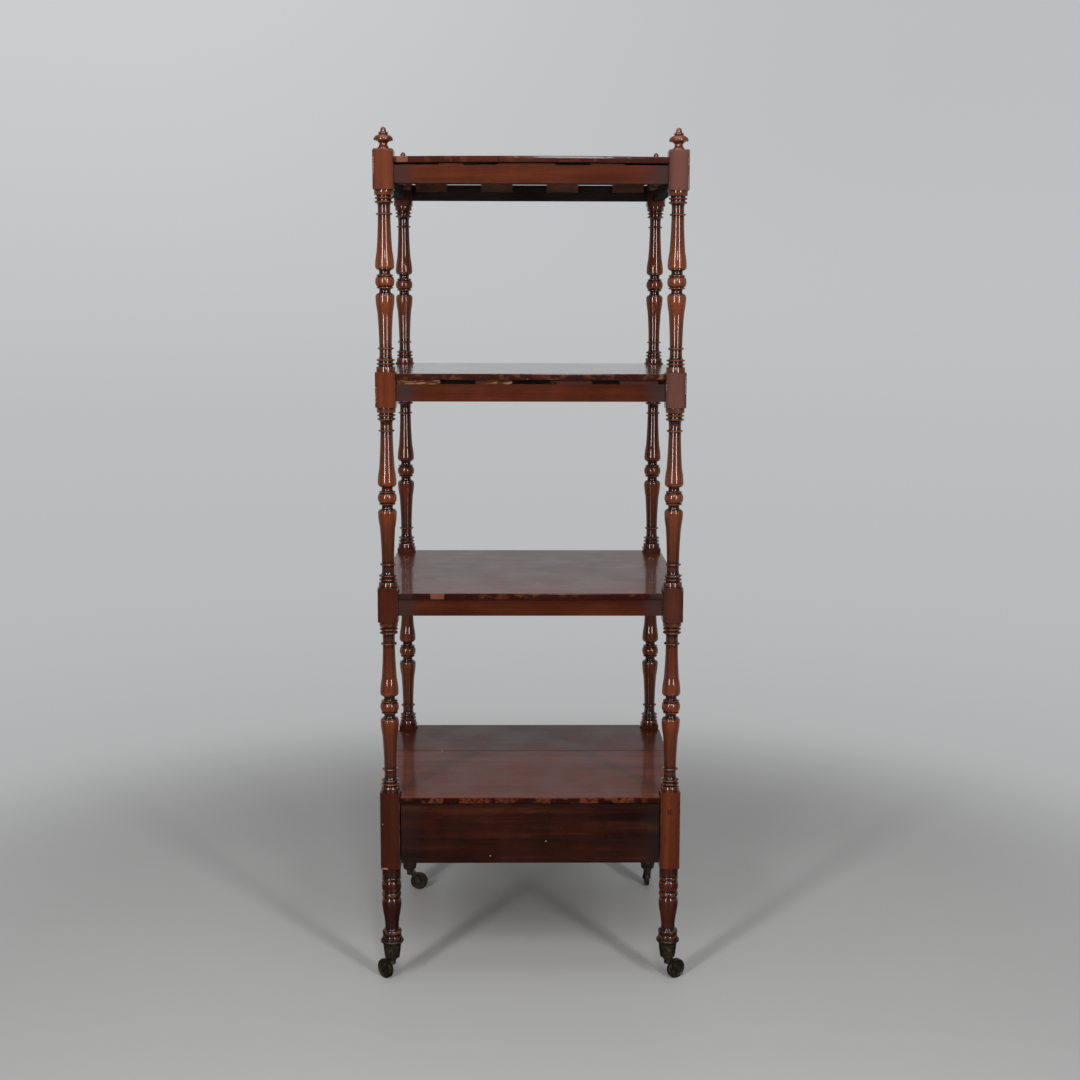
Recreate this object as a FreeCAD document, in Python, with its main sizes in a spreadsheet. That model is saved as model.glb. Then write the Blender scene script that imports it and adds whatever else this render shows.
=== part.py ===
import FreeCAD, Part
import os
import re

import Sketcher

Vector = FreeCAD.Vector

# A four-tier etagere (whatnot) on castors. Four turned posts carry four boards on tenoned rails, the
# lowest tier is a shallow case with a drawer, and each post ends in a brass cup castor.
# The origin is on the floor at the centre of the four posts; +X is the right, -Y the front, +Z up.

# Driving dimensions in millimetres (angles in degrees): name, value, what it sets.
SIZES = [
    ("spacing_across", 468, "post axis to post axis, across the front"),
    ("spacing_deep", 440, "post axis to post axis, front to back"),
    ("glue_gap", 0.1, "clearance round a glued tenon, dowel, spigot or tongue"),
    # posts: the square blocks and the levels
    ("post_size", 33, "side of the square blocks"),
    ("post_arris", 0.8, "small flat on the upright arrises of the blocks"),
    ("foot_length", 127.5, "turned foot between the castor's rim and the lower block"),
    ("lower_block_height", 133, "block that holds the drawer case"),
    ("block_height", 58, "each of the three upper blocks"),
    ("lower_turning", 288, "turned length between lower and middle block"),
    ("middle_turning", 294, "turned length between middle and upper block"),
    ("upper_turning", 287, "turned length between upper and top block"),
    ("head_rise", 5.5, "how much taller the top block is than the other two"),
    ("head_bevel_height", 4.5, "bevel round the head of the post"),
    ("head_bevel_width", 1.2, "bevel round the head of the post"),
    # posts: the turned pattern, the same at both ends of each length
    ("collar_radius", 15.3, "plain collar beside a block"),
    ("collar_height", 8, "plain collar beside a block"),
    ("quirk_radius", 12.6, "bottom of the quirks beside the beads"),
    ("quirk_width", 1.4, "half width of a quirk"),
    ("bead_radius", 15.1, "crest of the two beads beside the collar"),
    ("bead_height", 3.3, "each bead between its quirks"),
    ("cove_height", 5.6, "slope from the inner bead's crest to the neck"),
    ("neck_radius", 10.1, "slim neck and thin end of the vase"),
    ("neck_height", 11.4, "slim neck"),
    ("ring_radius", 13.3, "thin ring between neck and vase"),
    ("ring_height", 3.6, "thin ring between neck and vase"),
    ("vase_radius", 15.4, "thick end of the vase"),
    ("vase_turn_radius", 12.8, "where the hollow of the vase becomes its belly"),
    ("vase_turn_height", 23.5, "from the thick end to where the hollow begins"),
    ("vase_belly", 0.25, "swell of the belly above its chord"),
    ("vase_hollow", 0.6, "depth of the hollow below its chord"),
    ("lip_height", 3.4, "rounded lip under the vase"),
    ("lip_radius", 13.6, "lower edge of the lip"),
    ("step_radius", 12.5, "small step between lip and waist"),
    ("step_height", 1.5, "small step between lip and waist"),
    ("waist_radius", 9.1, "narrowest place beside the ball"),
    ("waist_slope", 3.1, "slope on each side of the waist"),
    ("waist_height", 3.1, "straight part of the waist"),
    ("ball_ring_radius", 13.8, "thin ring beside the ball"),
    ("ball_ring_height", 2, "from the ball's seat to the crest of its ring"),
    ("ball_seat_radius", 12, "where the ball meets its ring"),
    ("ball_radius", 15.5, "flattened ball in the middle"),
    ("ball_height", 15.8, "flattened ball in the middle"),
    # posts: the turned foot, as heights above the castor's rim
    ("shoulder_rise", 119, "shoulder cut under the lower block"),
    ("shoulder_radius", 15.7, "shoulder cut under the lower block"),
    ("foot_quirk_radius", 14.5, "quirks of the foot"),
    ("foot_quirk_rise", 113, "quirk under the shoulder"),
    ("foot_ring_rise", 108.5, "ring under the shoulder"),
    ("foot_ring_radius", 16, "ring under the shoulder"),
    ("bulge_top_rise", 104, "bulge of the foot"),
    ("bulge_bottom_rise", 86.5, "bulge of the foot"),
    ("bulge_swell", 1.9, "swell of the bulge above its quirks"),
    ("foot_bead_rise", 80.3, "bead under the bulge"),
    ("foot_bead_radius", 16.3, "bead under the bulge"),
    ("foot_vase_rise", 74.3, "upper end of the foot's vase"),
    ("foot_vase_swell", 1.55, "swell of the foot's vase above its chord"),
    ("foot_turn_rise", 53.5, "where the foot's vase turns hollow"),
    ("foot_turn_radius", 15.15, "where the foot's vase turns hollow"),
    ("foot_hollow", 0.4, "depth of the foot's hollow below its chord"),
    ("ankle_rise", 20.5, "lower end of the narrowest place"),
    ("ankle_height", 5.5, "narrowest place of the foot"),
    ("ankle_radius", 11.4, "narrowest place of the foot"),
    ("ankle_bead_rise", 14, "bead under the ankle"),
    ("ankle_bead_radius", 16.2, "bead under the ankle"),
    ("ankle_quirk_rise", 10, "quirk under the ankle's bead"),
    ("ankle_quirk_radius", 15.5, "quirk under the ankle's bead"),
    ("foot_band_radius", 16.1, "plain band that sits on the castor's rim"),
    ("foot_band_height", 7.5, "plain band that sits on the castor's rim"),
    # finials, from the head of the post upwards
    ("finial_foot_radius", 9.8, "foot of the neck, on the post's head"),
    ("finial_foot_height", 1.6, "foot of the neck, on the post's head"),
    ("finial_flare_height", 6, "flare from the foot to the neck's narrowest place"),
    ("finial_flare_hollow", 0.65, "hollow of the flare"),
    ("finial_neck_radius", 6.6, "narrowest place of the neck"),
    ("finial_cove_height", 5.6, "cove from the neck to the cap's rim"),
    ("finial_cove_hollow", 1.65, "hollow of the cove"),
    ("finial_cap_radius", 15.4, "rim of the mushroom cap"),
    ("finial_rim_height", 2.6, "upright part of the cap's rim"),
    ("finial_dome_height", 7.3, "dome of the cap"),
    ("finial_dome_swell", 1.5, "swell of the dome above its chord"),
    ("finial_groove_radius", 6.8, "groove between the dome and its disc"),
    ("finial_disc_radius", 7.8, "thin disc on the dome"),
    ("finial_disc_slope", 0.8, "sloping lower side of the disc"),
    ("finial_disc_height", 1.7, "upright edge of the disc"),
    ("finial_knob_seat", 1.4, "sloping upper side of the disc"),
    ("finial_knob_radius", 4.6, "bullet-shaped knob at its foot"),
    ("finial_knob_height", 3.4, "tapered part of the knob"),
    ("finial_tip_radius", 4.2, "where the knob's rounded tip begins"),
    ("finial_tip_height", 4.4, "rounded tip of the knob"),
    ("finial_tip_swell", 0.75, "swell of the tip above its chord"),
    ("finial_point_radius", 0.7, "small flat at the very top of the knob"),
    ("dowel_radius", 4, "finial's dowel in the post"),
    ("dowel_length", 16, "finial's dowel in the post"),
    ("dowel_room", 1, "dowel's hole beyond the end of the dowel"),
    # boards
    ("board_thickness", 10, "each board"),
    ("board_reach", 2, "board's edge beyond the outer faces of the posts"),
    ("board_round", 1.4, "rounded arrises of the boards"),
    ("notch_gap", 0.3, "clearance between a board's notch and its post"),
    ("lower_drop", 8, "lower board's top below the tops of the lower blocks"),
    ("middle_drop", 8.5, "middle board's top below the block tops"),
    ("upper_drop", 2.5, "upper board's top below the block tops"),
    ("top_drop", 12.5, "top board's top below the heads of the posts"),
    ("plank_joint", 50, "joint of the lower board's two planks, behind the centre"),
    ("plank_gap", 0.3, "opened glue line between the two planks"),
    # rails
    ("rail_height", 28, "rails of the upper three tiers"),
    ("rail_thickness", 19, "rails, case sides and case back"),
    ("rail_setback", 4, "rail's face behind the posts' outer faces"),
    ("tenon_thickness", 8, "tenons of all rails"),
    ("tenon_shoulder", 3, "shoulder above and below a tenon"),
    ("tenon_room", 1.5, "between a tenon's end and the tenon that crosses it"),
    ("mortise_room", 0.5, "mortise beyond the end of its tenon"),
    ("top_air", 2.5, "open slot between top board and its rails"),
    ("upper_air", 7, "open slot between upper board and its rails"),
    # packing pieces in the slots above the front rails; each gap starts at a post or at the piece before
    ("packing_depth", 12, "packing pieces, front to back"),
    ("top_packing_1_gap", 71.5, "gap before the first piece, from the left post"),
    ("top_packing_1", 38, "length of the first piece"),
    ("top_packing_2_gap", 56, "gap before the second piece"),
    ("top_packing_2", 89.5, "length of the second piece"),
    ("top_packing_3_gap", 69.5, "gap before the third piece, from the right post"),
    ("top_packing_3", 54.5, "length of the third piece"),
    ("upper_packing_1_gap", 2.5, "gap before the first piece, from the left post"),
    ("upper_packing_1", 69, "length of the first piece"),
    ("upper_packing_2_gap", 57, "gap before the second piece"),
    ("upper_packing_2", 59, "length of the second piece"),
    ("upper_packing_3_gap", 12.5, "gap before the third piece, from the right post"),
    ("upper_packing_3", 62, "length of the third piece"),
    ("upper_packing_4_gap", 45, "gap before the fourth piece, from the third"),
    ("upper_packing_4", 56, "length of the fourth piece"),
    # glue blocks under the boards
    ("glue_block_length", 58, "one glue block"),
    ("glue_block_width", 12, "one glue block"),
    ("glue_block_lap", 13, "how far a glue block laps down its rail"),
    ("glue_block_end", 7, "from a post to the first glue block of a front or back rail"),
    ("side_block_pitch", 121, "glue block to glue block along a side rail"),
    # drawer case
    ("case_height", 105, "case sides and back, below the lower board"),
    ("bearer_height", 18, "rail under the drawer"),
    ("bearer_width", 30, "rail under the drawer, front to back"),
    ("runner_height", 15, "runner under the drawer's side"),
    ("runner_lap", 13, "runner's reach under the drawer, inside the posts' faces"),
    ("guide_height", 18, "guide beside the drawer"),
    ("stop_width", 30, "drawer stop"),
    ("stop_thickness", 8, "drawer stop"),
    ("stop_height", 24, "drawer stop"),
    ("stop_rise", 30, "drawer stop above the bearer"),
    ("stop_spread", 150, "drawer stops, each side of the centre"),
    # drawer
    ("drawer_setback", 3.5, "drawer's front behind the posts' outer faces"),
    ("drawer_side_gap", 1.5, "clearance each side of the drawer"),
    ("drawer_top_gap", 2, "clearance above the drawer's front"),
    ("drawer_slack", 0.5, "clearance under and behind the drawer"),
    ("drawer_front_thickness", 18, "drawer's front"),
    ("drawer_side_thickness", 9, "drawer's sides and back"),
    ("drawer_side_drop", 5, "drawer's sides below the top of its front"),
    ("drawer_back_drop", 14, "drawer's back below the top of its front"),
    ("drawer_lap", 7, "drawer's sides let into the front"),
    ("drawer_bottom_thickness", 6, "drawer's bottom panel"),
    ("drawer_bottom_rise", 5, "bottom panel above the lower edge of the sides"),
    ("drawer_groove", 3.5, "depth of the bottom panel's grooves"),
    # castors
    ("wheel_radius", 16.5, "castor wheel"),
    ("wheel_width", 9, "castor wheel"),
    ("wheel_bevel", 1.4, "bevelled edges of the tread"),
    ("wheel_rim", 3.2, "rim round the dished faces of the wheel"),
    ("wheel_dish", 1.2, "depth of the dished faces of the wheel"),
    ("wheel_hub_radius", 5, "hub of the wheel"),
    ("wheel_side_gap", 0.5, "clearance between wheel and fork"),
    ("wheel_top_gap", 1, "clearance round the wheel"),
    ("crown_gap", 5.7, "from the wheel's top to the pivot plate"),
    ("trail", 18.3, "wheel's axle behind the pivot"),
    ("axle_radius", 2, "axle pin"),
    ("running_gap", 0.05, "radial clearance of the castor's pins"),
    ("axle_head_radius", 3.2, "riveted heads of the axle pin"),
    ("axle_head_height", 1, "riveted heads of the axle pin"),
    ("fork_cheek", 2, "thickness of one fork arm"),
    ("fork_radius", 4.2, "half width of the arms and radius of their eyes"),
    ("fork_root", 5.6, "half width of the arms at the pivot plate"),
    ("boss_radius", 5.8, "boss round the king pin"),
    ("boss_height", 8.7, "boss below the pivot plate"),
    ("plate_radius", 7.8, "pivot plate under the cup"),
    ("plate_height", 3.4, "pivot plate under the cup"),
    ("pivot_gap", 0.3, "clearance between pivot plate and cup"),
    ("king_pin_radius", 3, "king pin"),
    ("king_pin_play", 0.2, "from the king pin's riveted end to the boss"),
    ("king_pin_head_radius", 5, "king pin's head inside the cup"),
    ("king_pin_head_height", 1.8, "king pin's head inside the cup"),
    ("king_pin_rivet_radius", 3.8, "riveted end under the boss"),
    ("king_pin_rivet_height", 1, "riveted end under the boss"),
    ("cup_bottom_radius", 12.2, "outside of the cup at the bottom"),
    ("cup_floor", 3.2, "thickness of the cup's floor"),
    ("cup_wall", 1.5, "wall of the cup"),
    ("cup_side_height", 22.5, "from the cup's bottom to the cove under its rim"),
    ("cup_side_radius", 15, "outside of the cup under the cove"),
    ("cup_side_swell", 0.3, "swell of the cup's side above its chord"),
    ("cup_cove_height", 5.1, "cove under the rim"),
    ("cup_cove_hollow", 0.9, "hollow of the cove"),
    ("cup_flare", 2, "widening of the cup's inside towards the mouth"),
    ("rim_height", 3.9, "rolled rim of the cup"),
    ("rim_radius", 18.8, "edges of the rolled rim"),
    ("rim_roll", 0.7, "swell of the rolled rim"),
    ("foot_tip_room", 1.5, "from the king pin's head to the tip of the post"),
    ("front_left_swivel", 135, "direction in which this castor trails, from +X"),
    ("front_right_swivel", 33, "direction in which this castor trails, from +X"),
    ("back_left_swivel", 0, "direction in which this castor trails, from +X"),
    ("back_right_swivel", 90, "direction in which this castor trails, from +X"),
]
NAMES = {name for name, _, _ in SIZES}

# Castor, from the floor up. The king pin's riveted end stops just above the wheel.
PLATE_BOTTOM = "(2 * wheel_radius + crown_gap)"
CUP_BOTTOM = f"({PLATE_BOTTOM} + plate_height + pivot_gap)"
CUP_INSIDE = f"({CUP_BOTTOM} + cup_floor)"
RIM_BOTTOM = f"({CUP_BOTTOM} + cup_side_height + cup_cove_height)"
RIM_TOP = f"({RIM_BOTTOM} + rim_height)"
WHEEL_BY_RIVET = "(wheel_radius + sqrt(max(wheel_radius^2 - (trail - king_pin_rivet_radius)^2; 0)))"
RIVET_LIMIT = f"({WHEEL_BY_RIVET} + wheel_top_gap + king_pin_rivet_height + king_pin_play)"
BOSS_BOTTOM = f"max({PLATE_BOTTOM} - boss_height; {RIVET_LIMIT})"
# The cup's inside is a cone, which the tip of the post fills.
CUP_TIP_RADIUS = "(cup_bottom_radius - cup_wall)"
CUP_MOUTH_RADIUS = "(cup_side_radius - cup_wall + cup_flare)"
FOOT_TIP = f"({CUP_INSIDE} + king_pin_head_height + foot_tip_room)"
FOOT_TIP_SHARE = f"(({FOOT_TIP} - {CUP_INSIDE}) / ({RIM_TOP} - {CUP_INSIDE}))"
FOOT_TIP_RADIUS = f"({CUP_TIP_RADIUS} + ({CUP_MOUTH_RADIUS} - {CUP_TIP_RADIUS}) * {FOOT_TIP_SHARE})"

# Levels of the posts and boards.
LOWER_BOTTOM = f"({RIM_TOP} + foot_length)"
LOWER_TOP = f"({LOWER_BOTTOM} + lower_block_height)"
MIDDLE_TOP = f"({LOWER_TOP} + lower_turning + block_height)"
UPPER_TOP = f"({MIDDLE_TOP} + middle_turning + block_height)"
HEAD = f"({UPPER_TOP} + upper_turning + block_height + head_rise)"
LOWER_BOARD_TOP = f"({LOWER_TOP} - lower_drop)"
# Upper three tiers: name, top of the board, open slot between the board and its rails.
TIERS = [
    ("middle", f"({MIDDLE_TOP} - middle_drop)", "0"),
    ("upper", f"({UPPER_TOP} - upper_drop)", "upper_air"),
    ("top", f"({HEAD} - top_drop)", "top_air"),
]
# Packing pieces: tier, board's top, slot, and their numbers from the left and from the right post.
PACKING = [
    ("upper", f"({UPPER_TOP} - upper_drop)", "upper_air", "12", "34"),
    ("top", f"({HEAD} - top_drop)", "top_air", "12", "3"),
]

# Plan: corners of the frame as name, side in X, side in Y, and the planes of posts and rails.
CORNERS = [
    ("front_left", -1, -1),
    ("front_right", 1, -1),
    ("back_left", -1, 1),
    ("back_right", 1, 1),
]
HALF_ACROSS = "(spacing_across / 2)"
HALF_DEEP = "(spacing_deep / 2)"
CLEAR_ACROSS = "(spacing_across - post_size)"
CLEAR_DEEP = "(spacing_deep - post_size)"
RAIL_OFFSET = "(post_size / 2 - rail_setback - rail_thickness / 2)"
RAIL_INSIDE_ACROSS = f"({HALF_ACROSS} + {RAIL_OFFSET} - rail_thickness / 2)"
RAIL_INSIDE_DEEP = f"({HALF_DEEP} + {RAIL_OFFSET} - rail_thickness / 2)"
TENON_LENGTH = f"(post_size / 2 + {RAIL_OFFSET} - tenon_thickness / 2 - tenon_room)"

# Drawer case and drawer: levels, and distances in front of (-Y) or behind the centre.
CASE_TOP = f"({LOWER_BOARD_TOP} - board_thickness)"
CASE_BOTTOM = f"({CASE_TOP} - case_height)"
BEARER_TOP = f"({CASE_BOTTOM} + bearer_height)"
DRAWER_FACE = f"({HALF_DEEP} + post_size / 2 - drawer_setback)"
DRAWER_FRONT_BACK = f"({DRAWER_FACE} - drawer_front_thickness)"
BEARER_FRONT = f"({DRAWER_FRONT_BACK} - drawer_slack)"
DRAWER_TOP = f"({CASE_TOP} - drawer_top_gap)"
DRAWER_SIDE_BOTTOM = f"({BEARER_TOP} + drawer_slack)"
DRAWER_SIDE_TOP = f"({DRAWER_TOP} - drawer_side_drop)"
DRAWER_PANEL = f"({DRAWER_SIDE_BOTTOM} + drawer_bottom_rise)"
DRAWER_HALF = f"({CLEAR_ACROSS} / 2 - drawer_side_gap)"
DRAWER_INSIDE = f"({DRAWER_HALF} - drawer_side_thickness)"
DRAWER_END = f"({RAIL_INSIDE_DEEP} - stop_thickness - drawer_slack)"

doc = FreeCAD.newDocument("etagere")
sheet = doc.addObject("Spreadsheet::Sheet", "Sizes")
for row, (name, number, meaning) in enumerate(SIZES, 1):
    sheet.set(f"A{row}", name)
    sheet.set(f"B{row}", str(number))
    sheet.set(f"C{row}", meaning)
    sheet.setAlias(f"B{row}", name)
doc.recompute()

parts = []  # the sub-parts, in the order in which they are written


# ---------------------------------------------------------------- helpers


def ref(text):
    """An expression in which each size's name points at its cell."""
    return re.sub(r"[a-z]\w*", lambda m: f"Sizes.{m[0]}" if m[0] in NAMES else m[0], str(text))


def value(text):
    """The expression's number at the sheet's present sizes."""
    return float(sheet.evalExpression(ref(text)))


def keep(piece, label):
    """Make the object a sub-part with a label of its own."""
    piece.Label = label
    parts.append(piece)
    return piece


def place(piece, x="0", y="0", z="0", turned=None):
    """Bind the object's place, and its turn about the upright axis, to the sheet."""
    if turned is not None:
        piece.Placement = FreeCAD.Placement(Vector(), FreeCAD.Rotation(Vector(0, 0, 1), 1))
        piece.setExpression("Placement.Rotation.Angle", ref(turned))
    for axis, where in zip("xyz", (x, y, z)):
        piece.setExpression(f"Placement.Base.{axis}", ref(where))
    return piece


def attach(body, plane, along, up):
    """An empty sketch on one of the body's origin planes, moved along its normal and its vertical."""
    drawn = body.newObject("Sketcher::SketchObject", body.Name + "_outline")
    drawn.AttachmentSupport = [(next(f for f in body.Origin.OriginFeatures if f.Role == plane), "")]
    drawn.MapMode = "FlatFace"
    drawn.setExpression("AttachmentOffset.Base.z", ref(along))
    drawn.setExpression("AttachmentOffset.Base.y", ref(up))
    return drawn


def constrain(drawn, rules):
    """Add the rules; those of (kind, places, expression) are held at their expression."""
    constraints = []
    bound = []
    for kind, places, text in rules:
        if text is None:
            constraints.append(Sketcher.Constraint(kind, *places))
            continue
        bound.append((len(constraints), text))
        constraints.append(Sketcher.Constraint(kind, *places, value(text)))
    drawn.addConstraint(constraints)
    for index, text in bound:
        drawn.setExpression(f"Constraints[{index}]", ref(text))


def sketch(body, plane, *outlines, along="0", up="0"):
    """A sketch of closed outlines.

    Each outline is a list of (x, y) or (x, y, swell): a corner is held at its two expressions, and
    swell makes the edge that arrives there an arc that stands out that far on the right of its way.
    """
    drawn = attach(body, plane, along, up)
    rules = []
    for outline in outlines:
        first = len(drawn.Geometry)
        ends = []
        pairs = list(zip(outline, outline[1:] + outline[:1]))
        for corner, following in pairs:
            start = Vector(value(corner[0]), value(corner[1]), 0)
            end = Vector(value(following[0]), value(following[1]), 0)
            if len(following) == 2:
                drawn.addGeometry(Part.LineSegment(start, end), False)
                ends.append((1, 2))
                continue
            run = end - start
            outward = Vector(run.y, -run.x, 0).normalize() * value(following[2])
            drawn.addGeometry(Part.Arc(start, (start + end) / 2 + outward, end), False)
            # a sketch keeps its arcs anticlockwise, so one drawn clockwise has its ends swapped
            swapped = drawn.getPoint(first + len(ends), 1).distanceToPoint(start) > 1e-6
            ends.append((2, 1) if swapped else (1, 2))
        for number, (corner, following) in enumerate(pairs):
            edge = first + number
            after = (number + 1) % len(outline)
            rules.append(("Coincident", (edge, ends[number][1], first + after, ends[after][0]), None))
            rules.append(("DistanceX", (-1, 1, edge, ends[number][0]), corner[0]))
            rules.append(("DistanceY", (-1, 1, edge, ends[number][0]), corner[1]))
            if len(following) == 3:
                chord = f"((({corner[0]}) - ({following[0]}))^2 + (({corner[1]}) - ({following[1]}))^2)"
                swell = f"({following[2]})"
                rules.append(("Radius", (edge,), f"abs({chord} / (8 * {swell}) + {swell} / 2)"))
    constrain(drawn, rules)
    return drawn


def disc(body, plane, radius, x="0", y="0", along="0"):
    """A sketch of one circle."""
    drawn = attach(body, plane, along, "0")
    drawn.addGeometry(Part.Circle(Vector(value(x), value(y), 0), Vector(0, 0, 1), value(radius)), False)
    centre = (-1, 1, 0, 3)
    constrain(drawn, [("Radius", (0,), radius), ("DistanceX", centre, x), ("DistanceY", centre, y)])
    return drawn


def rectangle(x0, y0, x1, y1):
    return [(x0, y0), (x1, y0), (x1, y1), (x0, y1)]


def add(body, kind, drawn, length, both_ways=False, reverse=False):
    """A Pad or a Pocket; a pad grows along the sketch's normal and a pocket cuts against it."""
    feature = body.newObject("PartDesign::" + kind, f"{body.Name}_{kind.lower()}")
    feature.Profile = drawn
    feature.SideType = "Symmetric" if both_ways else "One side"
    feature.Reversed = reverse
    feature.setExpression("Length", ref(length))
    return feature


def revolve(body, drawn, axis="V_Axis"):
    feature = body.newObject("PartDesign::Revolution", body.Name + "_turning")
    feature.Profile = drawn
    feature.ReferenceAxis = (drawn, [axis])
    feature.Angle = 360
    return feature


def new_body(name, base=None):
    body = doc.addObject("PartDesign::Body", name)
    if base is not None:
        body.BaseFeature = base
    return body


def box(name, length, width, height, x, y, z):
    """A plain block whose lowest corner is at x, y, z."""
    block = doc.addObject("Part::Box", name)
    block.setExpression("Length", ref(length))
    block.setExpression("Width", ref(width))
    block.setExpression("Height", ref(height))
    return place(block, x, y, z)


def cylinder(name, radius, height, x, y, z):
    """An upright cylinder whose lower face is centred on x, y, z."""
    bar = doc.addObject("Part::Cylinder", name)
    bar.setExpression("Radius", ref(radius))
    bar.setExpression("Height", ref(height))
    return place(bar, x, y, z)


def group(label, pieces):
    """Several separate solids of one kind, kept as one sub-part."""
    together = doc.addObject("Part::Compound", label)
    together.Links = pieces
    return keep(together, label)


# ---------------------------------------------------------------- posts


def square(side="(post_size / 2)", arris="post_arris"):
    """A block across the grain, with its four arrises taken off."""
    short = f"({side} - {arris})"
    return [
        (f"-{short}", f"-{side}"),
        (short, f"-{side}"),
        (side, f"-{short}"),
        (side, short),
        (short, side),
        (f"-{short}", side),
        (f"-{side}", short),
        (f"-{side}", f"-{short}"),
    ]


def turned_length(start, length):
    """Outline of one turned length: beads, neck, ring, vase, waist and ball, and the same again upwards.

    The half from the ball outwards is listed once and then mirrored.
    """
    ball_ring = "(ball_height / 2 + ball_ring_height)"
    waist = f"({ball_ring} + waist_slope)"
    step = f"({waist} + waist_height + waist_slope)"
    lip = f"({step} + step_height)"
    vase = f"({lip} + lip_height)"
    collar = f"(({length}) / 2 - collar_height)"
    outer_bead = f"({collar} - 2 * quirk_width - bead_height / 2)"
    inner_bead = f"({outer_bead} - 2 * quirk_width - bead_height)"
    neck = f"({inner_bead} - cove_height)"
    ring = f"({neck} - neck_height)"
    half = [
        ("ball_seat_radius", "ball_height / 2"),
        ("ball_ring_radius", ball_ring),
        ("waist_radius", waist),
        ("waist_radius", f"{waist} + waist_height"),
        ("step_radius", step),
        ("lip_radius", lip),
        ("vase_radius", vase),
        ("vase_turn_radius", f"{vase} + vase_turn_height", "vase_belly"),
        ("neck_radius", f"{ring} - ring_height", "-vase_hollow"),
        ("ring_radius", f"{ring} - ring_height / 2"),
        ("neck_radius", ring),
        ("neck_radius", neck),
        ("bead_radius", inner_bead),
        ("quirk_radius", f"{inner_bead} + bead_height / 2 + quirk_width"),
        ("bead_radius", outer_bead),
        ("quirk_radius", f"{collar} - quirk_width"),
        ("collar_radius", collar),
        ("collar_radius", f"({length}) / 2"),
    ]
    middle = f"({start} + ({length}) / 2)"
    lower = [(near[0], f"{middle} - ({near[1]})", *far[2:]) for near, far in zip(half, half[1:])]
    lower.append((half[-1][0], start))
    upper = [(point[0], f"{middle} + {point[1]}", *point[2:]) for point in half]
    upper[0] += ("ball_radius - ball_seat_radius",)
    return lower[::-1] + upper + [("0", f"{middle} + ({length}) / 2"), ("0", start)]


def turned_foot():
    """Outline of the foot, from the lower block down to its tip inside the castor's cup."""
    profile = [
        ("shoulder_radius", "shoulder_rise"),
        ("foot_quirk_radius", "foot_quirk_rise"),
        ("foot_ring_radius", "foot_ring_rise"),
        ("foot_quirk_radius", "bulge_top_rise"),
        ("foot_quirk_radius", "bulge_bottom_rise", "-bulge_swell"),
        ("foot_bead_radius", "foot_bead_rise"),
        ("foot_quirk_radius", "foot_vase_rise"),
        ("foot_turn_radius", "foot_turn_rise", "-foot_vase_swell"),
        ("ankle_radius", "ankle_rise + ankle_height", "foot_hollow"),
        ("ankle_radius", "ankle_rise"),
        ("ankle_bead_radius", "ankle_bead_rise"),
        ("ankle_quirk_radius", "ankle_quirk_rise"),
        ("foot_band_radius", "foot_band_height"),
    ]
    outline = [("0", LOWER_BOTTOM), ("post_size / 2", LOWER_BOTTOM)]
    outline += [(point[0], f"{RIM_TOP} + {point[1]}", *point[2:]) for point in profile]
    outline += [
        ("foot_band_radius", RIM_TOP),
        (f"{CUP_MOUTH_RADIUS} - glue_gap", RIM_TOP),
        (f"{FOOT_TIP_RADIUS} - glue_gap", FOOT_TIP),
        ("0", FOOT_TIP),
    ]
    return outline


def post_pattern():
    """One post as it leaves the lathe, before its mortises are cut."""
    body = new_body("post_pattern")
    add(body, "Pad", sketch(body, "XY_Plane", square(), along=LOWER_BOTTOM), "lower_block_height")
    for bottom, height in (
        (f"{MIDDLE_TOP} - block_height", "block_height"),
        (f"{UPPER_TOP} - block_height", "block_height"),
        (f"{HEAD} - head_rise - block_height", "block_height + head_rise - head_bevel_height"),
    ):
        add(body, "Pad", sketch(body, "XY_Plane", square(), along=bottom), height)
    head = body.newObject("PartDesign::AdditiveLoft", "post_head")
    head.Profile = sketch(body, "XY_Plane", square(), along=f"{HEAD} - head_bevel_height")
    head_face = square("(post_size / 2 - head_bevel_width)", "(post_arris / 2)")
    head.Sections = [sketch(body, "XY_Plane", head_face, along=HEAD)]
    head.Ruled = True
    for start, length in (
        (LOWER_TOP, "lower_turning"),
        (MIDDLE_TOP, "middle_turning"),
        (UPPER_TOP, "upper_turning"),
    ):
        revolve(body, sketch(body, "XZ_Plane", turned_length(start, length)))
    revolve(body, sketch(body, "XZ_Plane", turned_foot()))
    add(body, "Pocket", disc(body, "XY_Plane", "dowel_radius", along=HEAD), "dowel_length + dowel_room")
    return body


def mortise(side, bottom, height):
    """Opening for a rail's tenon; side is the rail's side of the post axis."""
    half = "(tenon_thickness / 2 + glue_gap)"
    middle = f"({side} * {RAIL_OFFSET})"
    low = f"{bottom} + tenon_shoulder - glue_gap"
    high = f"{bottom} + {height} - tenon_shoulder + glue_gap"
    return rectangle(f"{middle} - {half}", low, f"{middle} + {half}", high)


def rail_bottom(board_top, air):
    return f"({board_top} - board_thickness - {air} - rail_height)"


def bearer_tenon(gap):
    """Front and back of the bearer's tenon, between the bearer's face and the post's inner face."""
    return (
        f"(-{BEARER_FRONT} + tenon_shoulder / 2 - {gap})",
        f"(-({CLEAR_DEEP} / 2) - tenon_shoulder / 2 + {gap})",
    )


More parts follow.
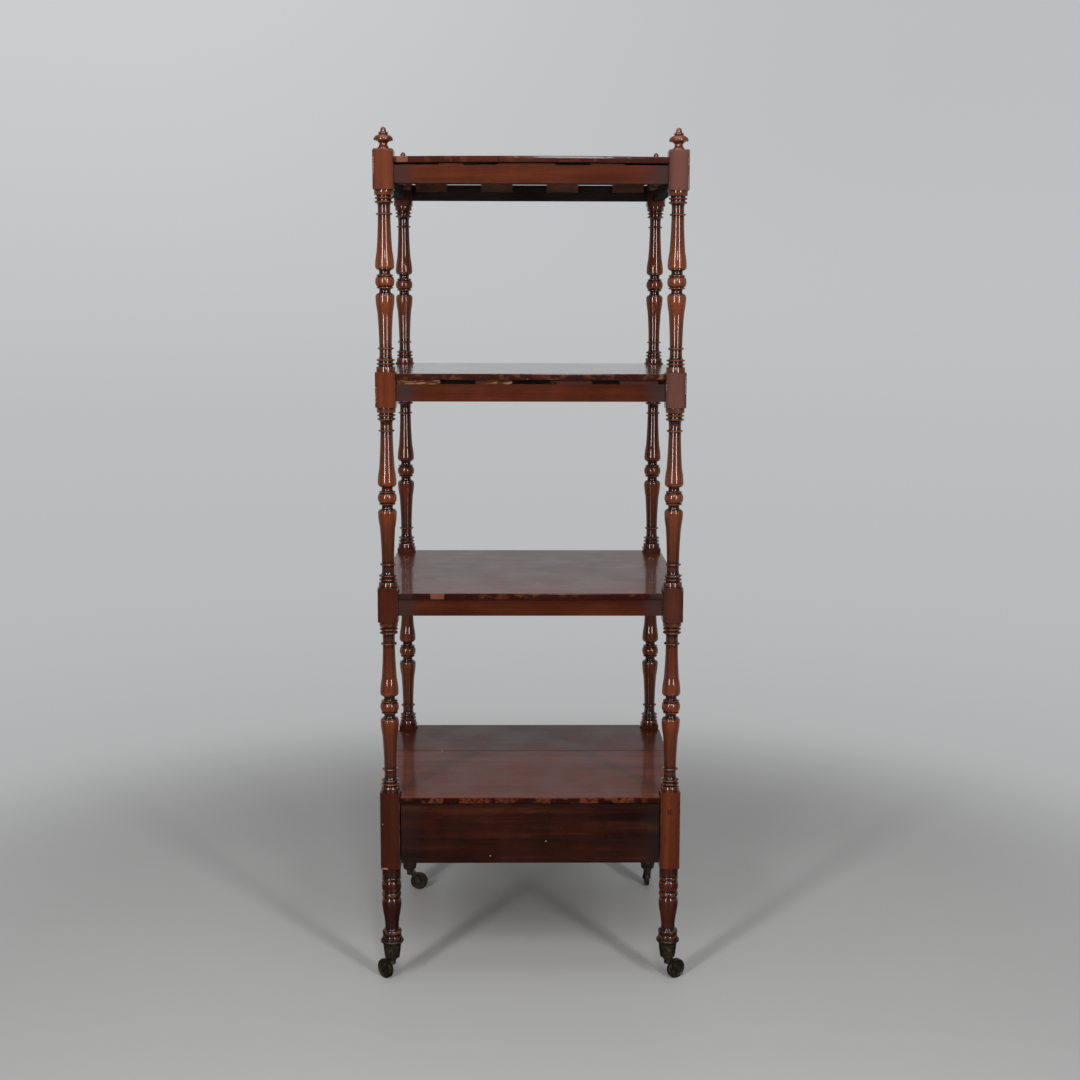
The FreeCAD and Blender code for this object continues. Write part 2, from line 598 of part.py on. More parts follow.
def make_posts():
    pattern = post_pattern()
    depth = f"{TENON_LENGTH} + mortise_room"
    for corner, side_x, side_y in CORNERS:
        post = new_body("post_" + corner, pattern)
        tiers = [(rail_bottom(top, air), "rail_height") for _, top, air in TIERS]
        deep = [mortise(side_x, *tier) for tier in tiers + [(CASE_BOTTOM, "case_height")]]
        across = [mortise(side_y, *tier) for tier in tiers]
        if side_y < 0:
            front, back = bearer_tenon("glue_gap")
            across.append(rectangle(
                f"{front} + {HALF_DEEP}",
                f"{CASE_BOTTOM} + tenon_shoulder - glue_gap",
                f"{back} + {HALF_DEEP}",
                f"{BEARER_TOP} - tenon_shoulder + glue_gap",
            ))
        else:
            across.append(mortise(side_y, CASE_BOTTOM, "case_height"))
        inner_x = f"{-side_x} * post_size / 2"
        inner_y = f"{side_y} * post_size / 2"
        add(post, "Pocket", sketch(post, "YZ_Plane", *across, along=inner_x), depth, reverse=side_x > 0)
        add(post, "Pocket", sketch(post, "XZ_Plane", *deep, along=inner_y), depth, reverse=side_y < 0)
        place(post, f"{side_x} * {HALF_ACROSS}", f"{side_y} * {HALF_DEEP}")
        keep(post, "post_" + corner)


def make_finials():
    profile = [
        ("finial_foot_radius", "finial_foot_height"),
        ("finial_neck_radius", "finial_flare_height", "-finial_flare_hollow"),
        ("finial_cap_radius", "finial_cove_height", "-finial_cove_hollow"),
        ("finial_cap_radius", "finial_rim_height"),
        ("finial_groove_radius", "finial_dome_height", "finial_dome_swell"),
        ("finial_disc_radius", "finial_disc_slope"),
        ("finial_disc_radius", "finial_disc_height"),
        ("finial_knob_radius", "finial_knob_seat"),
        ("finial_tip_radius", "finial_knob_height"),
        ("finial_point_radius", "finial_tip_height", "finial_tip_swell"),
        ("0", "0"),
    ]
    outline = [
        ("0", "-dowel_length"),
        ("dowel_radius - glue_gap", "-dowel_length"),
        ("dowel_radius - glue_gap", "0"),
        ("finial_foot_radius", "0"),
    ]
    level = "0"
    for radius, height, *swell in profile:
        level = f"{level} + {height}"
        outline.append((radius, level, *swell))
    for corner, side_x, side_y in CORNERS:
        body = new_body("finial_" + corner)
        revolve(body, sketch(body, "XZ_Plane", outline))
        place(body, f"{side_x} * {HALF_ACROSS}", f"{side_y} * {HALF_DEEP}", HEAD)
        keep(body, "finial_" + corner)


# ---------------------------------------------------------------- boards and rails


def make_board(label, top, front=None, back=None):
    """A board notched round the posts, or a plank of it that ends at front or at back."""
    half_x = f"({HALF_ACROSS} + post_size / 2 + board_reach)"
    half_y = f"({HALF_DEEP} + post_size / 2 + board_reach)"
    notch_x = f"({CLEAR_ACROSS} / 2 - notch_gap)"
    notch_y = f"({CLEAR_DEEP} / 2 - notch_gap)"
    front_edge = [(f"-{half_x}", front), (half_x, front)]
    if front is None:
        front_edge = [
            (f"-{half_x}", f"-{notch_y}"), (f"-{notch_x}", f"-{notch_y}"), (f"-{notch_x}", f"-{half_y}"),
            (notch_x, f"-{half_y}"), (notch_x, f"-{notch_y}"), (half_x, f"-{notch_y}"),
        ]
    back_edge = [(half_x, back), (f"-{half_x}", back)]
    if back is None:
        back_edge = [
            (half_x, notch_y), (notch_x, notch_y), (notch_x, half_y),
            (f"-{notch_x}", half_y), (f"-{notch_x}", notch_y), (f"-{half_x}", notch_y),
        ]
    body = new_body(label)
    drawn = sketch(body, "XY_Plane", front_edge + back_edge, along=f"{top} - board_thickness")
    slab = add(body, "Pad", drawn, "board_thickness")
    doc.recompute()
    rim_x, rim_y = value(half_x), value(half_y)
    rims = []
    for number, edge in enumerate(slab.Shape.Edges, 1):
        middle = edge.CenterOfMass
        outside = abs(abs(middle.x) - rim_x) < 0.001 or abs(abs(middle.y) - rim_y) < 0.001
        if outside and edge.BoundBox.ZLength < 0.001:
            rims.append(f"Edge{number}")
    rounded = body.newObject("PartDesign::Fillet", label + "_arrises")
    rounded.Base = (slab, rims)
    rounded.setExpression("Radius", ref("board_round"))
    return keep(body, label)


def make_rail(label, span, height, bottom, x="0", y="0", turned="0"):
    """A rail between two posts, tenoned at both ends."""
    body = new_body(label)
    reach = f"({span} / 2 + {TENON_LENGTH})"
    plan = rectangle(f"-{span} / 2", "-rail_thickness / 2", f"{span} / 2", "rail_thickness / 2")
    tongue = rectangle(f"-{reach}", "-tenon_thickness / 2", reach, "tenon_thickness / 2")
    add(body, "Pad", sketch(body, "XY_Plane", plan), height)
    add(body, "Pad", sketch(body, "XY_Plane", tongue, along="tenon_shoulder"), f"{height} - 2 * tenon_shoulder")
    place(body, x, y, bottom, turned)
    return keep(body, label)


def make_glue_blocks(tier, underside, air):
    """Short blocks in the corner between the board and its rails; they carry the board."""
    height = f"{air} + glue_block_lap"
    bottom = f"{underside} - {air} - glue_block_lap"
    pitch = f"(({CLEAR_ACROSS} - glue_block_length) / 2 - glue_block_end) / 1.5"
    blocks = []
    for side in (-1, 1):
        for step in (-1.5, -0.5, 0.5, 1.5):
            blocks.append(box(
                f"{tier}_block", "glue_block_length", "glue_block_width", height,
                f"{step} * {pitch} - glue_block_length / 2",
                f"{side} * ({RAIL_INSIDE_DEEP} - glue_block_width / 2) - glue_block_width / 2",
                bottom,
            ))
        for step in (-1, 0, 1):
            blocks.append(box(
                f"{tier}_block", "glue_block_width", "glue_block_length", height,
                f"{side} * ({RAIL_INSIDE_ACROSS} - glue_block_width / 2) - glue_block_width / 2",
                f"{step} * side_block_pitch - glue_block_length / 2",
                bottom,
            ))
    group(f"{tier}_glue_blocks", blocks)


def make_packing(tier, top, air, *numbers):
    """Thin pieces that close stretches of the slot above a front rail, flush with the rail's face."""
    pieces = []
    for side, ordered in zip((-1, 1), numbers):
        edge = f"({side} * {CLEAR_ACROSS} / 2)"
        for number in ordered:
            length = f"{tier}_packing_{number}"
            near = f"({edge} - {side} * {length}_gap)"
            edge = f"({near} - {side} * {length})"
            pieces.append(box(
                f"{tier}_packing_piece", length, "packing_depth", air,
                near if side < 0 else edge,
                f"-({HALF_DEEP} + post_size / 2 - rail_setback)",
                f"{top} - board_thickness - {air}",
            ))
    group(f"{tier}_packing", pieces)


def make_tiers():
    across = f"({HALF_ACROSS} + {RAIL_OFFSET})"
    deep = f"({HALF_DEEP} + {RAIL_OFFSET})"
    for tier, top, air in TIERS:
        make_board(tier + "_board", top)
        bottom = rail_bottom(top, air)
        make_rail(tier + "_rail_front", CLEAR_ACROSS, "rail_height", bottom, y=f"-{deep}")
        make_rail(tier + "_rail_back", CLEAR_ACROSS, "rail_height", bottom, y=deep)
        make_rail(tier + "_rail_left", CLEAR_DEEP, "rail_height", bottom, x=f"-{across}", turned="90")
        make_rail(tier + "_rail_right", CLEAR_DEEP, "rail_height", bottom, x=across, turned="90")
        make_glue_blocks(tier, f"({top} - board_thickness)", air)
    for packing in PACKING:
        make_packing(*packing)
    make_board("lower_board_front", LOWER_BOARD_TOP, back="(plank_joint - plank_gap / 2)")
    make_board("lower_board_back", LOWER_BOARD_TOP, front="(plank_joint + plank_gap / 2)")
    make_rail("case_back", CLEAR_ACROSS, "case_height", CASE_BOTTOM, y=deep)
    make_rail("case_side_left", CLEAR_DEEP, "case_height", CASE_BOTTOM, x=f"-{across}", turned="90")
    make_rail("case_side_right", CLEAR_DEEP, "case_height", CASE_BOTTOM, x=across, turned="90")


# ---------------------------------------------------------------- drawer case and drawer


def make_drawer_case():
    """Bearer, runners with guides, and stops."""
    bearer = new_body("drawer_rail")
    half = f"({CLEAR_ACROSS} / 2)"
    reach = f"({half} + {TENON_LENGTH})"
    plan = rectangle(f"-{half}", f"-{BEARER_FRONT}", half, f"-{BEARER_FRONT} + bearer_width")
    front, back = bearer_tenon("0")
    tongue = rectangle(f"-{reach}", front, reach, back)
    add(bearer, "Pad", sketch(bearer, "XY_Plane", plan, along=CASE_BOTTOM), "bearer_height")
    tongue_sketch = sketch(bearer, "XY_Plane", tongue, along=f"{CASE_BOTTOM} + tenon_shoulder")
    add(bearer, "Pad", tongue_sketch, "bearer_height - 2 * tenon_shoulder")
    keep(bearer, "drawer_rail")

    runner_end = f"({CLEAR_DEEP} / 2)"
    for name, side in (("left", -1), ("right", 1)):
        runner = new_body("drawer_runner_" + name)
        section = [
            (f"{side} * {RAIL_INSIDE_ACROSS}", f"{BEARER_TOP} - runner_height"),
            (f"{side} * ({half} - runner_lap)", f"{BEARER_TOP} - runner_height"),
            (f"{side} * ({half} - runner_lap)", BEARER_TOP),
            (f"{side} * {half}", BEARER_TOP),
            (f"{side} * {half}", f"{BEARER_TOP} + guide_height"),
            (f"{side} * {RAIL_INSIDE_ACROSS}", f"{BEARER_TOP} + guide_height"),
        ]
        drawn = sketch(runner, "XZ_Plane", section, along=f"-{runner_end}")
        add(runner, "Pad", drawn, f"{runner_end} + {BEARER_FRONT} - bearer_width")
        keep(runner, "drawer_runner_" + name)

    group("drawer_stops", [
        box(
            "drawer_stop", "stop_width", "stop_thickness", "stop_height",
            f"{side} * stop_spread - stop_width / 2",
            f"{RAIL_INSIDE_DEEP} - stop_thickness",
            f"{BEARER_TOP} + stop_rise",
        )
        for side in (-1, 1)
    ])


def make_drawer():
    panel_bottom = f"({DRAWER_PANEL} - glue_gap)"
    panel_top = f"({DRAWER_PANEL} + drawer_bottom_thickness + glue_gap)"
    front = new_body("drawer_front")
    face = rectangle(f"-{DRAWER_HALF}", f"{CASE_BOTTOM} + drawer_slack", DRAWER_HALF, DRAWER_TOP)
    add(front, "Pad", sketch(front, "XZ_Plane", face, along=DRAWER_FRONT_BACK), "drawer_front_thickness")
    laps = [
        rectangle(
            f"{side} * ({DRAWER_INSIDE} - glue_gap)", f"{DRAWER_SIDE_BOTTOM} - glue_gap",
            f"{side} * {DRAWER_HALF}", f"{DRAWER_SIDE_TOP} + glue_gap",
        )
        for side in (-1, 1)
    ]
    drawn = sketch(front, "XZ_Plane", *laps, along=DRAWER_FRONT_BACK)
    add(front, "Pocket", drawn, "drawer_lap + glue_gap", reverse=True)
    groove = rectangle(f"-{DRAWER_INSIDE}", panel_bottom, DRAWER_INSIDE, panel_top)
    drawn = sketch(front, "XZ_Plane", groove, along=DRAWER_FRONT_BACK)
    add(front, "Pocket", drawn, "drawer_groove", reverse=True)
    keep(front, "drawer_front")

    start = f"(-{DRAWER_FRONT_BACK} - drawer_lap)"
    for name, side in (("left", -1), ("right", 1)):
        body = new_body("drawer_side_" + name)
        outline = rectangle(start, DRAWER_SIDE_BOTTOM, DRAWER_END, DRAWER_SIDE_TOP)
        groove = rectangle(start, panel_bottom, DRAWER_END, panel_top)
        inside = f"{side} * {DRAWER_INSIDE}"
        drawn = sketch(body, "YZ_Plane", outline, along=inside)
        add(body, "Pad", drawn, "drawer_side_thickness", reverse=side < 0)
        drawn = sketch(body, "YZ_Plane", groove, along=inside)
        add(body, "Pocket", drawn, "drawer_groove", reverse=side > 0)
        keep(body, "drawer_side_" + name)

    back = box(
        "drawer_back", f"2 * {DRAWER_INSIDE}", "drawer_side_thickness",
        f"{DRAWER_TOP} - drawer_back_drop - {panel_top}",
        f"-{DRAWER_INSIDE}", f"{DRAWER_END} - drawer_side_thickness", panel_top,
    )
    keep(back, "drawer_back")
    half = f"({DRAWER_INSIDE} + drawer_groove - glue_gap)"
    panel_front = f"(-{DRAWER_FRONT_BACK} - drawer_groove + glue_gap)"
    panel = box(
        "drawer_bottom", f"2 * {half}", f"{DRAWER_END} - {panel_front}", "drawer_bottom_thickness",
        f"-{half}", panel_front, DRAWER_PANEL,
    )
    keep(panel, "drawer_bottom")


# ---------------------------------------------------------------- castors


def make_cup(body):
    """Turned brass cup with a rolled rim, hollow for the tip of the post."""
    hole = "(king_pin_radius + running_gap)"
    outline = [
        (hole, CUP_BOTTOM),
        ("cup_bottom_radius", CUP_BOTTOM),
        ("cup_side_radius", f"{CUP_BOTTOM} + cup_side_height", "cup_side_swell"),
        ("rim_radius", RIM_BOTTOM, "-cup_cove_hollow"),
        ("rim_radius", RIM_TOP, "rim_roll"),
        (CUP_MOUTH_RADIUS, RIM_TOP),
        (CUP_TIP_RADIUS, CUP_INSIDE),
        (hole, CUP_INSIDE),
    ]
    revolve(body, sketch(body, "XZ_Plane", outline))


def make_horn(body):
    """Pivot plate, boss and two arms, which trail towards the horn's own +X."""
    plate_top = f"({CUP_BOTTOM} - pivot_gap)"
    outline = [
        ("0", BOSS_BOTTOM),
        ("boss_radius", BOSS_BOTTOM),
        ("boss_radius", PLATE_BOTTOM),
        ("plate_radius", PLATE_BOTTOM),
        ("plate_radius", plate_top),
        ("0", plate_top),
    ]
    revolve(body, sketch(body, "XZ_Plane", outline))
    width = "wheel_width + 2 * wheel_side_gap + 2 * fork_cheek"
    lean = "(fork_radius / sqrt(2))"
    arms = [
        ("-fork_root", f"{PLATE_BOTTOM} + plate_height / 2"),
        (f"trail - {lean}", f"wheel_radius - {lean}"),
        (f"trail + {lean}", f"wheel_radius + {lean}"),
        ("fork_root", f"{PLATE_BOTTOM} + plate_height / 2"),
    ]
    add(body, "Pad", sketch(body, "XZ_Plane", arms), width, both_ways=True)
    eyes = disc(body, "XZ_Plane", "fork_radius", "trail", "wheel_radius")
    add(body, "Pad", eyes, width, both_ways=True)
    well = disc(body, "XZ_Plane", "wheel_radius + wheel_top_gap", "trail", "wheel_radius")
    add(body, "Pocket", well, "wheel_width + 2 * wheel_side_gap", both_ways=True)
    bore = disc(body, "XY_Plane", "king_pin_radius + running_gap", along=plate_top)
    add(body, "Pocket", bore, f"{plate_top} - {BOSS_BOTTOM}")
    rivet_room = disc(body, "XY_Plane", "king_pin_rivet_radius + king_pin_play", along=BOSS_BOTTOM)
    add(body, "Pocket", rivet_room, "wheel_radius")
    axle_holes = disc(body, "XZ_Plane", "axle_radius + running_gap", "trail", "wheel_radius")
    add(body, "Pocket", axle_holes, width, both_ways=True)


def make_wheel(body):
    """Brass wheel with dished faces and a plain bore."""
    bore = "(axle_radius + running_gap)"
    half = [
        ("wheel_width / 2", bore),
        ("wheel_width / 2", "wheel_hub_radius"),
        ("wheel_width / 2 - wheel_dish", "wheel_hub_radius + wheel_dish"),
        ("wheel_width / 2 - wheel_dish", "wheel_radius - wheel_rim - wheel_dish"),
        ("wheel_width / 2", "wheel_radius - wheel_rim"),
        ("wheel_width / 2", "wheel_radius - wheel_bevel"),
        ("wheel_width / 2 - wheel_bevel", "wheel_radius"),
    ]
    outline = half + [(f"-({x})", y) for x, y in half[::-1]]
    revolve(body, sketch(body, "YZ_Plane", outline, along="trail", up="wheel_radius"), "H_Axis")


def make_axle(body):
    """Axle pin with a riveted head on the outside of each arm."""
    half_fork = "(wheel_width / 2 + wheel_side_gap + fork_cheek)"
    half = [
        (half_fork, "axle_radius"),
        (half_fork, "axle_head_radius"),
        (f"{half_fork} + axle_head_height", "axle_head_radius"),
        (f"{half_fork} + axle_head_height", "0"),
    ]
    outline = half + [(f"-({x})", y) for x, y in half[::-1]]
    revolve(body, sketch(body, "YZ_Plane", outline, along="trail", up="wheel_radius"), "H_Axis")


def make_king_pin(corner, x, y):
    """King pin: its head lies in the cup, its riveted end under the boss of the horn."""
    rivet_bottom = f"({BOSS_BOTTOM} - king_pin_play - king_pin_rivet_height)"
    head_top = f"({CUP_INSIDE} + king_pin_head_height)"
    pin = doc.addObject("Part::MultiFuse", "king_pin_" + corner)
    pin.Shapes = [
        cylinder("king_pin_shank", "king_pin_radius", f"{head_top} - {rivet_bottom}", x, y, rivet_bottom),
        cylinder("king_pin_head", "king_pin_head_radius", "king_pin_head_height", x, y, CUP_INSIDE),
        cylinder("king_pin_rivet", "king_pin_rivet_radius", "king_pin_rivet_height", x, y, rivet_bottom),
    ]
    return pin


def make_castors():
    king_pins = []
    for corner, side_x, side_y in CORNERS:
        x = f"{side_x} * {HALF_ACROSS}"
        y = f"{side_y} * {HALF_DEEP}"
        for name, make in (("cup", make_cup), ("horn", make_horn), ("axle", make_axle), ("wheel", make_wheel)):
            body = new_body(f"castor_{name}_{corner}")
            make(body)
            place(body, x, y, turned=corner + "_swivel")
            keep(body, f"castor_{name}_{corner}")
        king_pins.append(make_king_pin(corner, x, y))
    group("castor_king_pins", king_pins)


# ---------------------------------------------------------------- build, check and write

make_posts()
make_finials()
make_tiers()
make_drawer_case()
make_drawer()
make_castors()
doc.recompute()

faults = [
    f"{thing.Name}: {', '.join(thing.State)}"
    for thing in doc.Objects
    if {"Invalid", "Error"} & set(thing.State)
]
faults += [
    f"{piece.Label}: shape is null or not valid"
    for piece in parts
    if piece.Shape.isNull() or not piece.Shape.isValid()
]
if faults:
    raise RuntimeError("\n".join(faults))

os.makedirs("parts", exist_ok=True)
for piece in parts:
    piece.Shape.exportStep(f"parts/{piece.Label}.step")
    print(f"{piece.Label}: {len(piece.Shape.Solids)} solid(s), {piece.Shape.Volume / 1000:.2f} cm3")
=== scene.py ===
"""Four-tier whatnot: finely turned posts, worn boards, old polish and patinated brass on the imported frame."""

import math

import bmesh
import bpy
from bpy.props import FloatProperty, FloatVectorProperty, PointerProperty
from mathutils import Matrix, Vector, noise


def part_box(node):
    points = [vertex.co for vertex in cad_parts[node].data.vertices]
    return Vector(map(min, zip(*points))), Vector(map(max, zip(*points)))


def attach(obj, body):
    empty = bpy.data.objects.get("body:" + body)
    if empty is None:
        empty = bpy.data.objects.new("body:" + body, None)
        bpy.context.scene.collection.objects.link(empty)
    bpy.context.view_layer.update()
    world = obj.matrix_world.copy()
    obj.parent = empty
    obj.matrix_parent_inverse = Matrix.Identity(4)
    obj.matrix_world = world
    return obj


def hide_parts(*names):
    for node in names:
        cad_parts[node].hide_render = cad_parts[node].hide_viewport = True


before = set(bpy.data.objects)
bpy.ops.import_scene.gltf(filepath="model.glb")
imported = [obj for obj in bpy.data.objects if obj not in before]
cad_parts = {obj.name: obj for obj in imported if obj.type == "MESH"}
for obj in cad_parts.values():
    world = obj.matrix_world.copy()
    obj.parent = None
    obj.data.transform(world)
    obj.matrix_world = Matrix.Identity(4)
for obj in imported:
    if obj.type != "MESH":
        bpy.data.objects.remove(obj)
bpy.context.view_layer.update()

bl_info = {
    "name": "Whatnot Dressing",
    "version": (1, 0, 0),
    "blender": (4, 5, 0),
    "location": "View3D > Sidebar > Whatnot",
    "description": "Turns the posts, wears the boards and finishes the wood and brass of a four-tier whatnot",
    "category": "Object",
}

MM = 0.001
CORNERS = ("front_left", "front_right", "back_left", "back_right")

# Levels in millimetres above the floor: the posts' square blocks and the castors' rims.
BLOCKS = ((201.4, 334.4), (622.4, 680.4), (974.4, 1032.4), (1319.4, 1382.9))
RIM_TOP = 73.9
HALF_BLOCK = 16.5
# The tip that stands in the cup: level and radius.
POST_TIP = ((48.95, 0.01), (48.95, 11.0), (73.85, 15.3))
# The rounded cut at a block's end: share of the pommel's height and reach from the axis.
POMMEL_CUT = ((0.0, 16.6), (0.1, 18.3), (0.3, 20.2), (0.55, 21.7), (0.8, 22.7), (1.05, 23.6))
UNCUT = 99.0
# The bevel round a post's head: how far below the top and how far in.
HEAD_BEVEL = ((4.5, 0.0), (3.2, 0.1), (2.1, 0.32), (1.2, 0.65), (0.5, 1.05), (0.1, 1.5), (0.0, 1.9))
# Rows of points round a post, in degrees from the middle of each face, close together at the arris.
RING_ANGLES = (-43.6, -40, -32, -24, -16, -8, 0, 8, 16, 24, 32, 40, 43.6, 45)

# Tone and film of the wood, from the lowest block up to the finial, for each post. The tones are painted
# light: the blocks are mostly painted lighter higher up, where more light falls.
BLOCK_LOOKS = {
    "front_left": ((-0.04, 0.0), (-0.01, 0.0), (0.07, 0.0), (0.085, 0.06), (0.065, 0.0)),
    "front_right": ((0.04, 0.0), (-0.01, 0.06), (0.05, 0.3), (0.06, 0.32), (0.085, 0.05)),
    "back_left": ((-0.05, 0.0), (-0.03, 0.03), (0.0, 0.05), (0.02, 0.1), (0.02, 0.0)),
    "back_right": ((-0.03, 0.0), (-0.02, 0.05), (0.01, 0.1), (0.03, 0.1), (0.02, 0.0)),
}
# How much lighter the turned work under each of those blocks is painted, as painted light, with the foot
# painted darker; and how much of its coat a block keeps.
TURNED_LIFT = (-0.055, 0.085, 0.06, 0.07, 0.07)
BLOCK_POLISH = 0.45
# Painted shade in the turned work: its share, how far it reaches from a block, and the radius under which
# necks are painted darker, in full where they are thinner by the span.
SHADE_SHARE, SHADE_REACH, THIN_RADIUS, THIN_SPAN = 0.5, 24.0, 14.6, 4.5

# The boards' notches round the posts end so far from the middle, in millimetres.
NOTCH_X, NOTCH_Y = 217.2, 203.2
# How far in from their edges the boards are worn, and from its front edge the top board is bowed, in metres.
WORN_BAND, BOW_REACH = 0.004, 0.2
# The front faces lie between these places, from before the face to just behind it, in millimetres.
POST_FACE = (-237.5, -235.0)
RAIL_FACE = (-234.0, -231.0)
BEFORE_BOARDS = -242.0

# The cup screws: outline of the head as distance out and radius, its level, where it sits and its slot.
SCREW_LINE = ((-1.2, 2.1), (0.35, 2.1), (0.6, 1.9), (0.85, 1.35), (0.95, 0.75))
SCREW_LEVEL, SCREW_OUT = 56.4, 14.0
SLOT_HALF, SLOT_DEPTH = 0.42, 0.45

# The stage in metres: radius of the room and of its cove, and the backdrop's greys from near to far.
ROOM, COVE = 4.0, 1.6
BACKDROP_FADE = (
    (0.0, (0.36, 0.36, 0.36)), (0.1, (0.395, 0.397, 0.40)), (0.2, (0.435, 0.438, 0.442)),
    (0.45, (0.475, 0.48, 0.487)), (0.75, (0.505, 0.512, 0.522)),
)
# Name, place, width, height and share of the lamp power.
LAMPS = (
    ("lamp_left", (-1.5, -2.75, 1.75), 0.28, 2.4, 1.0),
    ("lamp_right", (1.5, -2.75, 1.75), 0.28, 2.4, 0.9),
    ("lamp_middle", (0.15, -2.7, 2.6), 0.25, 1.5, 0.4),
    ("lamp_above", (0.0, -0.6, 3.4), 2.2, 2.2, 0.45),
)
LAMP_AIM = Vector((0.0, 0.0, 0.85))
# Yaw, pitch and roll in radians; lens and sensor width in millimetres.
CAMERA_PLACE = (-0.0173, -2.8668, 1.1417)
CAMERA_TURNS = (0.012327, 0.143991, 0.0022605)
CAMERA_LENS = (54.38, 36.0)

# Colours of single marks.
DUST = (0.05, 0.035, 0.028)
VERDIGRIS = (0.035, 0.04, 0.03)
DARK_JOINT = (0.006, 0.004, 0.004)


# ---------------------------------------------------------------- sizes and colours


def length(label, meaning, millimetres):
    """A size that is shown in the scene's units."""
    return FloatProperty(
        name=label, description=meaning, default=millimetres * MM, unit="LENGTH", precision=4
    )


def strength(label, meaning, value):
    """A power or strength, nought or more."""
    return FloatProperty(name=label, description=meaning, default=value, min=0.0)


def colour(label, meaning, rgb):
    """A colour with its swatch."""
    return FloatVectorProperty(
        name=label, description=meaning, default=rgb, size=3, subtype="COLOR", min=0.0, max=1.0
    )


class WHATNOT_PG_turning(bpy.types.PropertyGroup):
    """Radii of the turned pattern and the wear of the square blocks."""

    collar: length("Collar", "Plain collar beside a block", 15.3)
    bead: length("Bead", "Crest of the two beads beside the collar", 15.1)
    quirk: length("Quirk", "Bottom of the quirks beside the beads", 12.6)
    neck: length("Neck", "Slim neck and thin end of the vase", 10.1)
    ring: length("Ring", "Thin ring between neck and vase", 13.3)
    turn: length("Turn", "Where the vase's belly turns into its slim end", 12.8)
    vase: length("Vase", "Thick end of the vase", 15.4)
    waist: length("Waist", "Narrowest place beside the ball", 9.1)
    ball: length("Ball", "Flattened ball in the middle", 15.5)
    pommel: length("Pommel", "Height of the rounded cut at the end of a block", 1.3)
    arris: length("Arris wear", "How far the upright arrises of the blocks are worn down", 0.4)


class WHATNOT_PG_boards(bpy.types.PropertyGroup):
    """Shape of the worn boards."""

    edge_round: length("Rounded edge", "Radius of the boards' worn edges", 1.4)
    bow: length("Bow", "Rise of the top board's front edge in the middle", 1.6)
    dents: length("Dents", "Depth of the small dents along the front edges", 0.35)


class WHATNOT_PG_finish(bpy.types.PropertyGroup):
    """Colours of wood and brass."""

    polish_dark: colour("Dark polish", "Darkest streaks of the polished wood", (0.022, 0.0055, 0.004))
    polish_middle: colour("Middle polish", "General colour of the polished wood", (0.088, 0.017, 0.0068))
    polish_light: colour("Light polish", "Lightest streaks of the polished wood", (0.24, 0.054, 0.0155))
    worn: colour("Worn wood", "Wood where the polish is worn through on edges", (0.26, 0.085, 0.036))
    bare: colour("Bare wood", "Fresh chips and repairs", (0.40, 0.15, 0.075))
    # The grime colour also lays painted shade on the posts' thin necks, the ends of the turned work and the
    # blocks' sides.
    grime_and_shade: colour("Grime", "Old wax and dirt in the quirks", (0.011, 0.007, 0.006))
    film: colour("Film", "Dull purplish film of old polish", (0.15, 0.115, 0.115))
    # The colour of unpolished faces is painted shade: undersides and inner faces are painted nearly black.
    raw_in_shade: colour("Unpolished faces", "Undersides and inner faces, never polished", (0.024, 0.018, 0.016))
    lining: colour("Lining", "Unpolished wood inside the drawer", (0.30, 0.155, 0.075))
    brass_dark: colour("Dark brass", "Patina on the castors", (0.050, 0.043, 0.030))
    brass_light: colour("Light brass", "Rubbed brass on the castors", (0.19, 0.155, 0.09))


class WHATNOT_PG_stage(bpy.types.PropertyGroup):
    """Floor, backdrop and light."""

    floor: colour("Floor", "Colour of the floor", (0.70, 0.70, 0.695))
    wall: colour("Backdrop", "Colour of the backdrop", (0.60, 0.613, 0.63))
    lamp_power: strength("Lamps", "Power of the left lamp in watts; the others have a share of it", 39.5)
    sky: strength("Surroundings", "Strength of the even light all round", 0.1)


# ---------------------------------------------------------------- materials


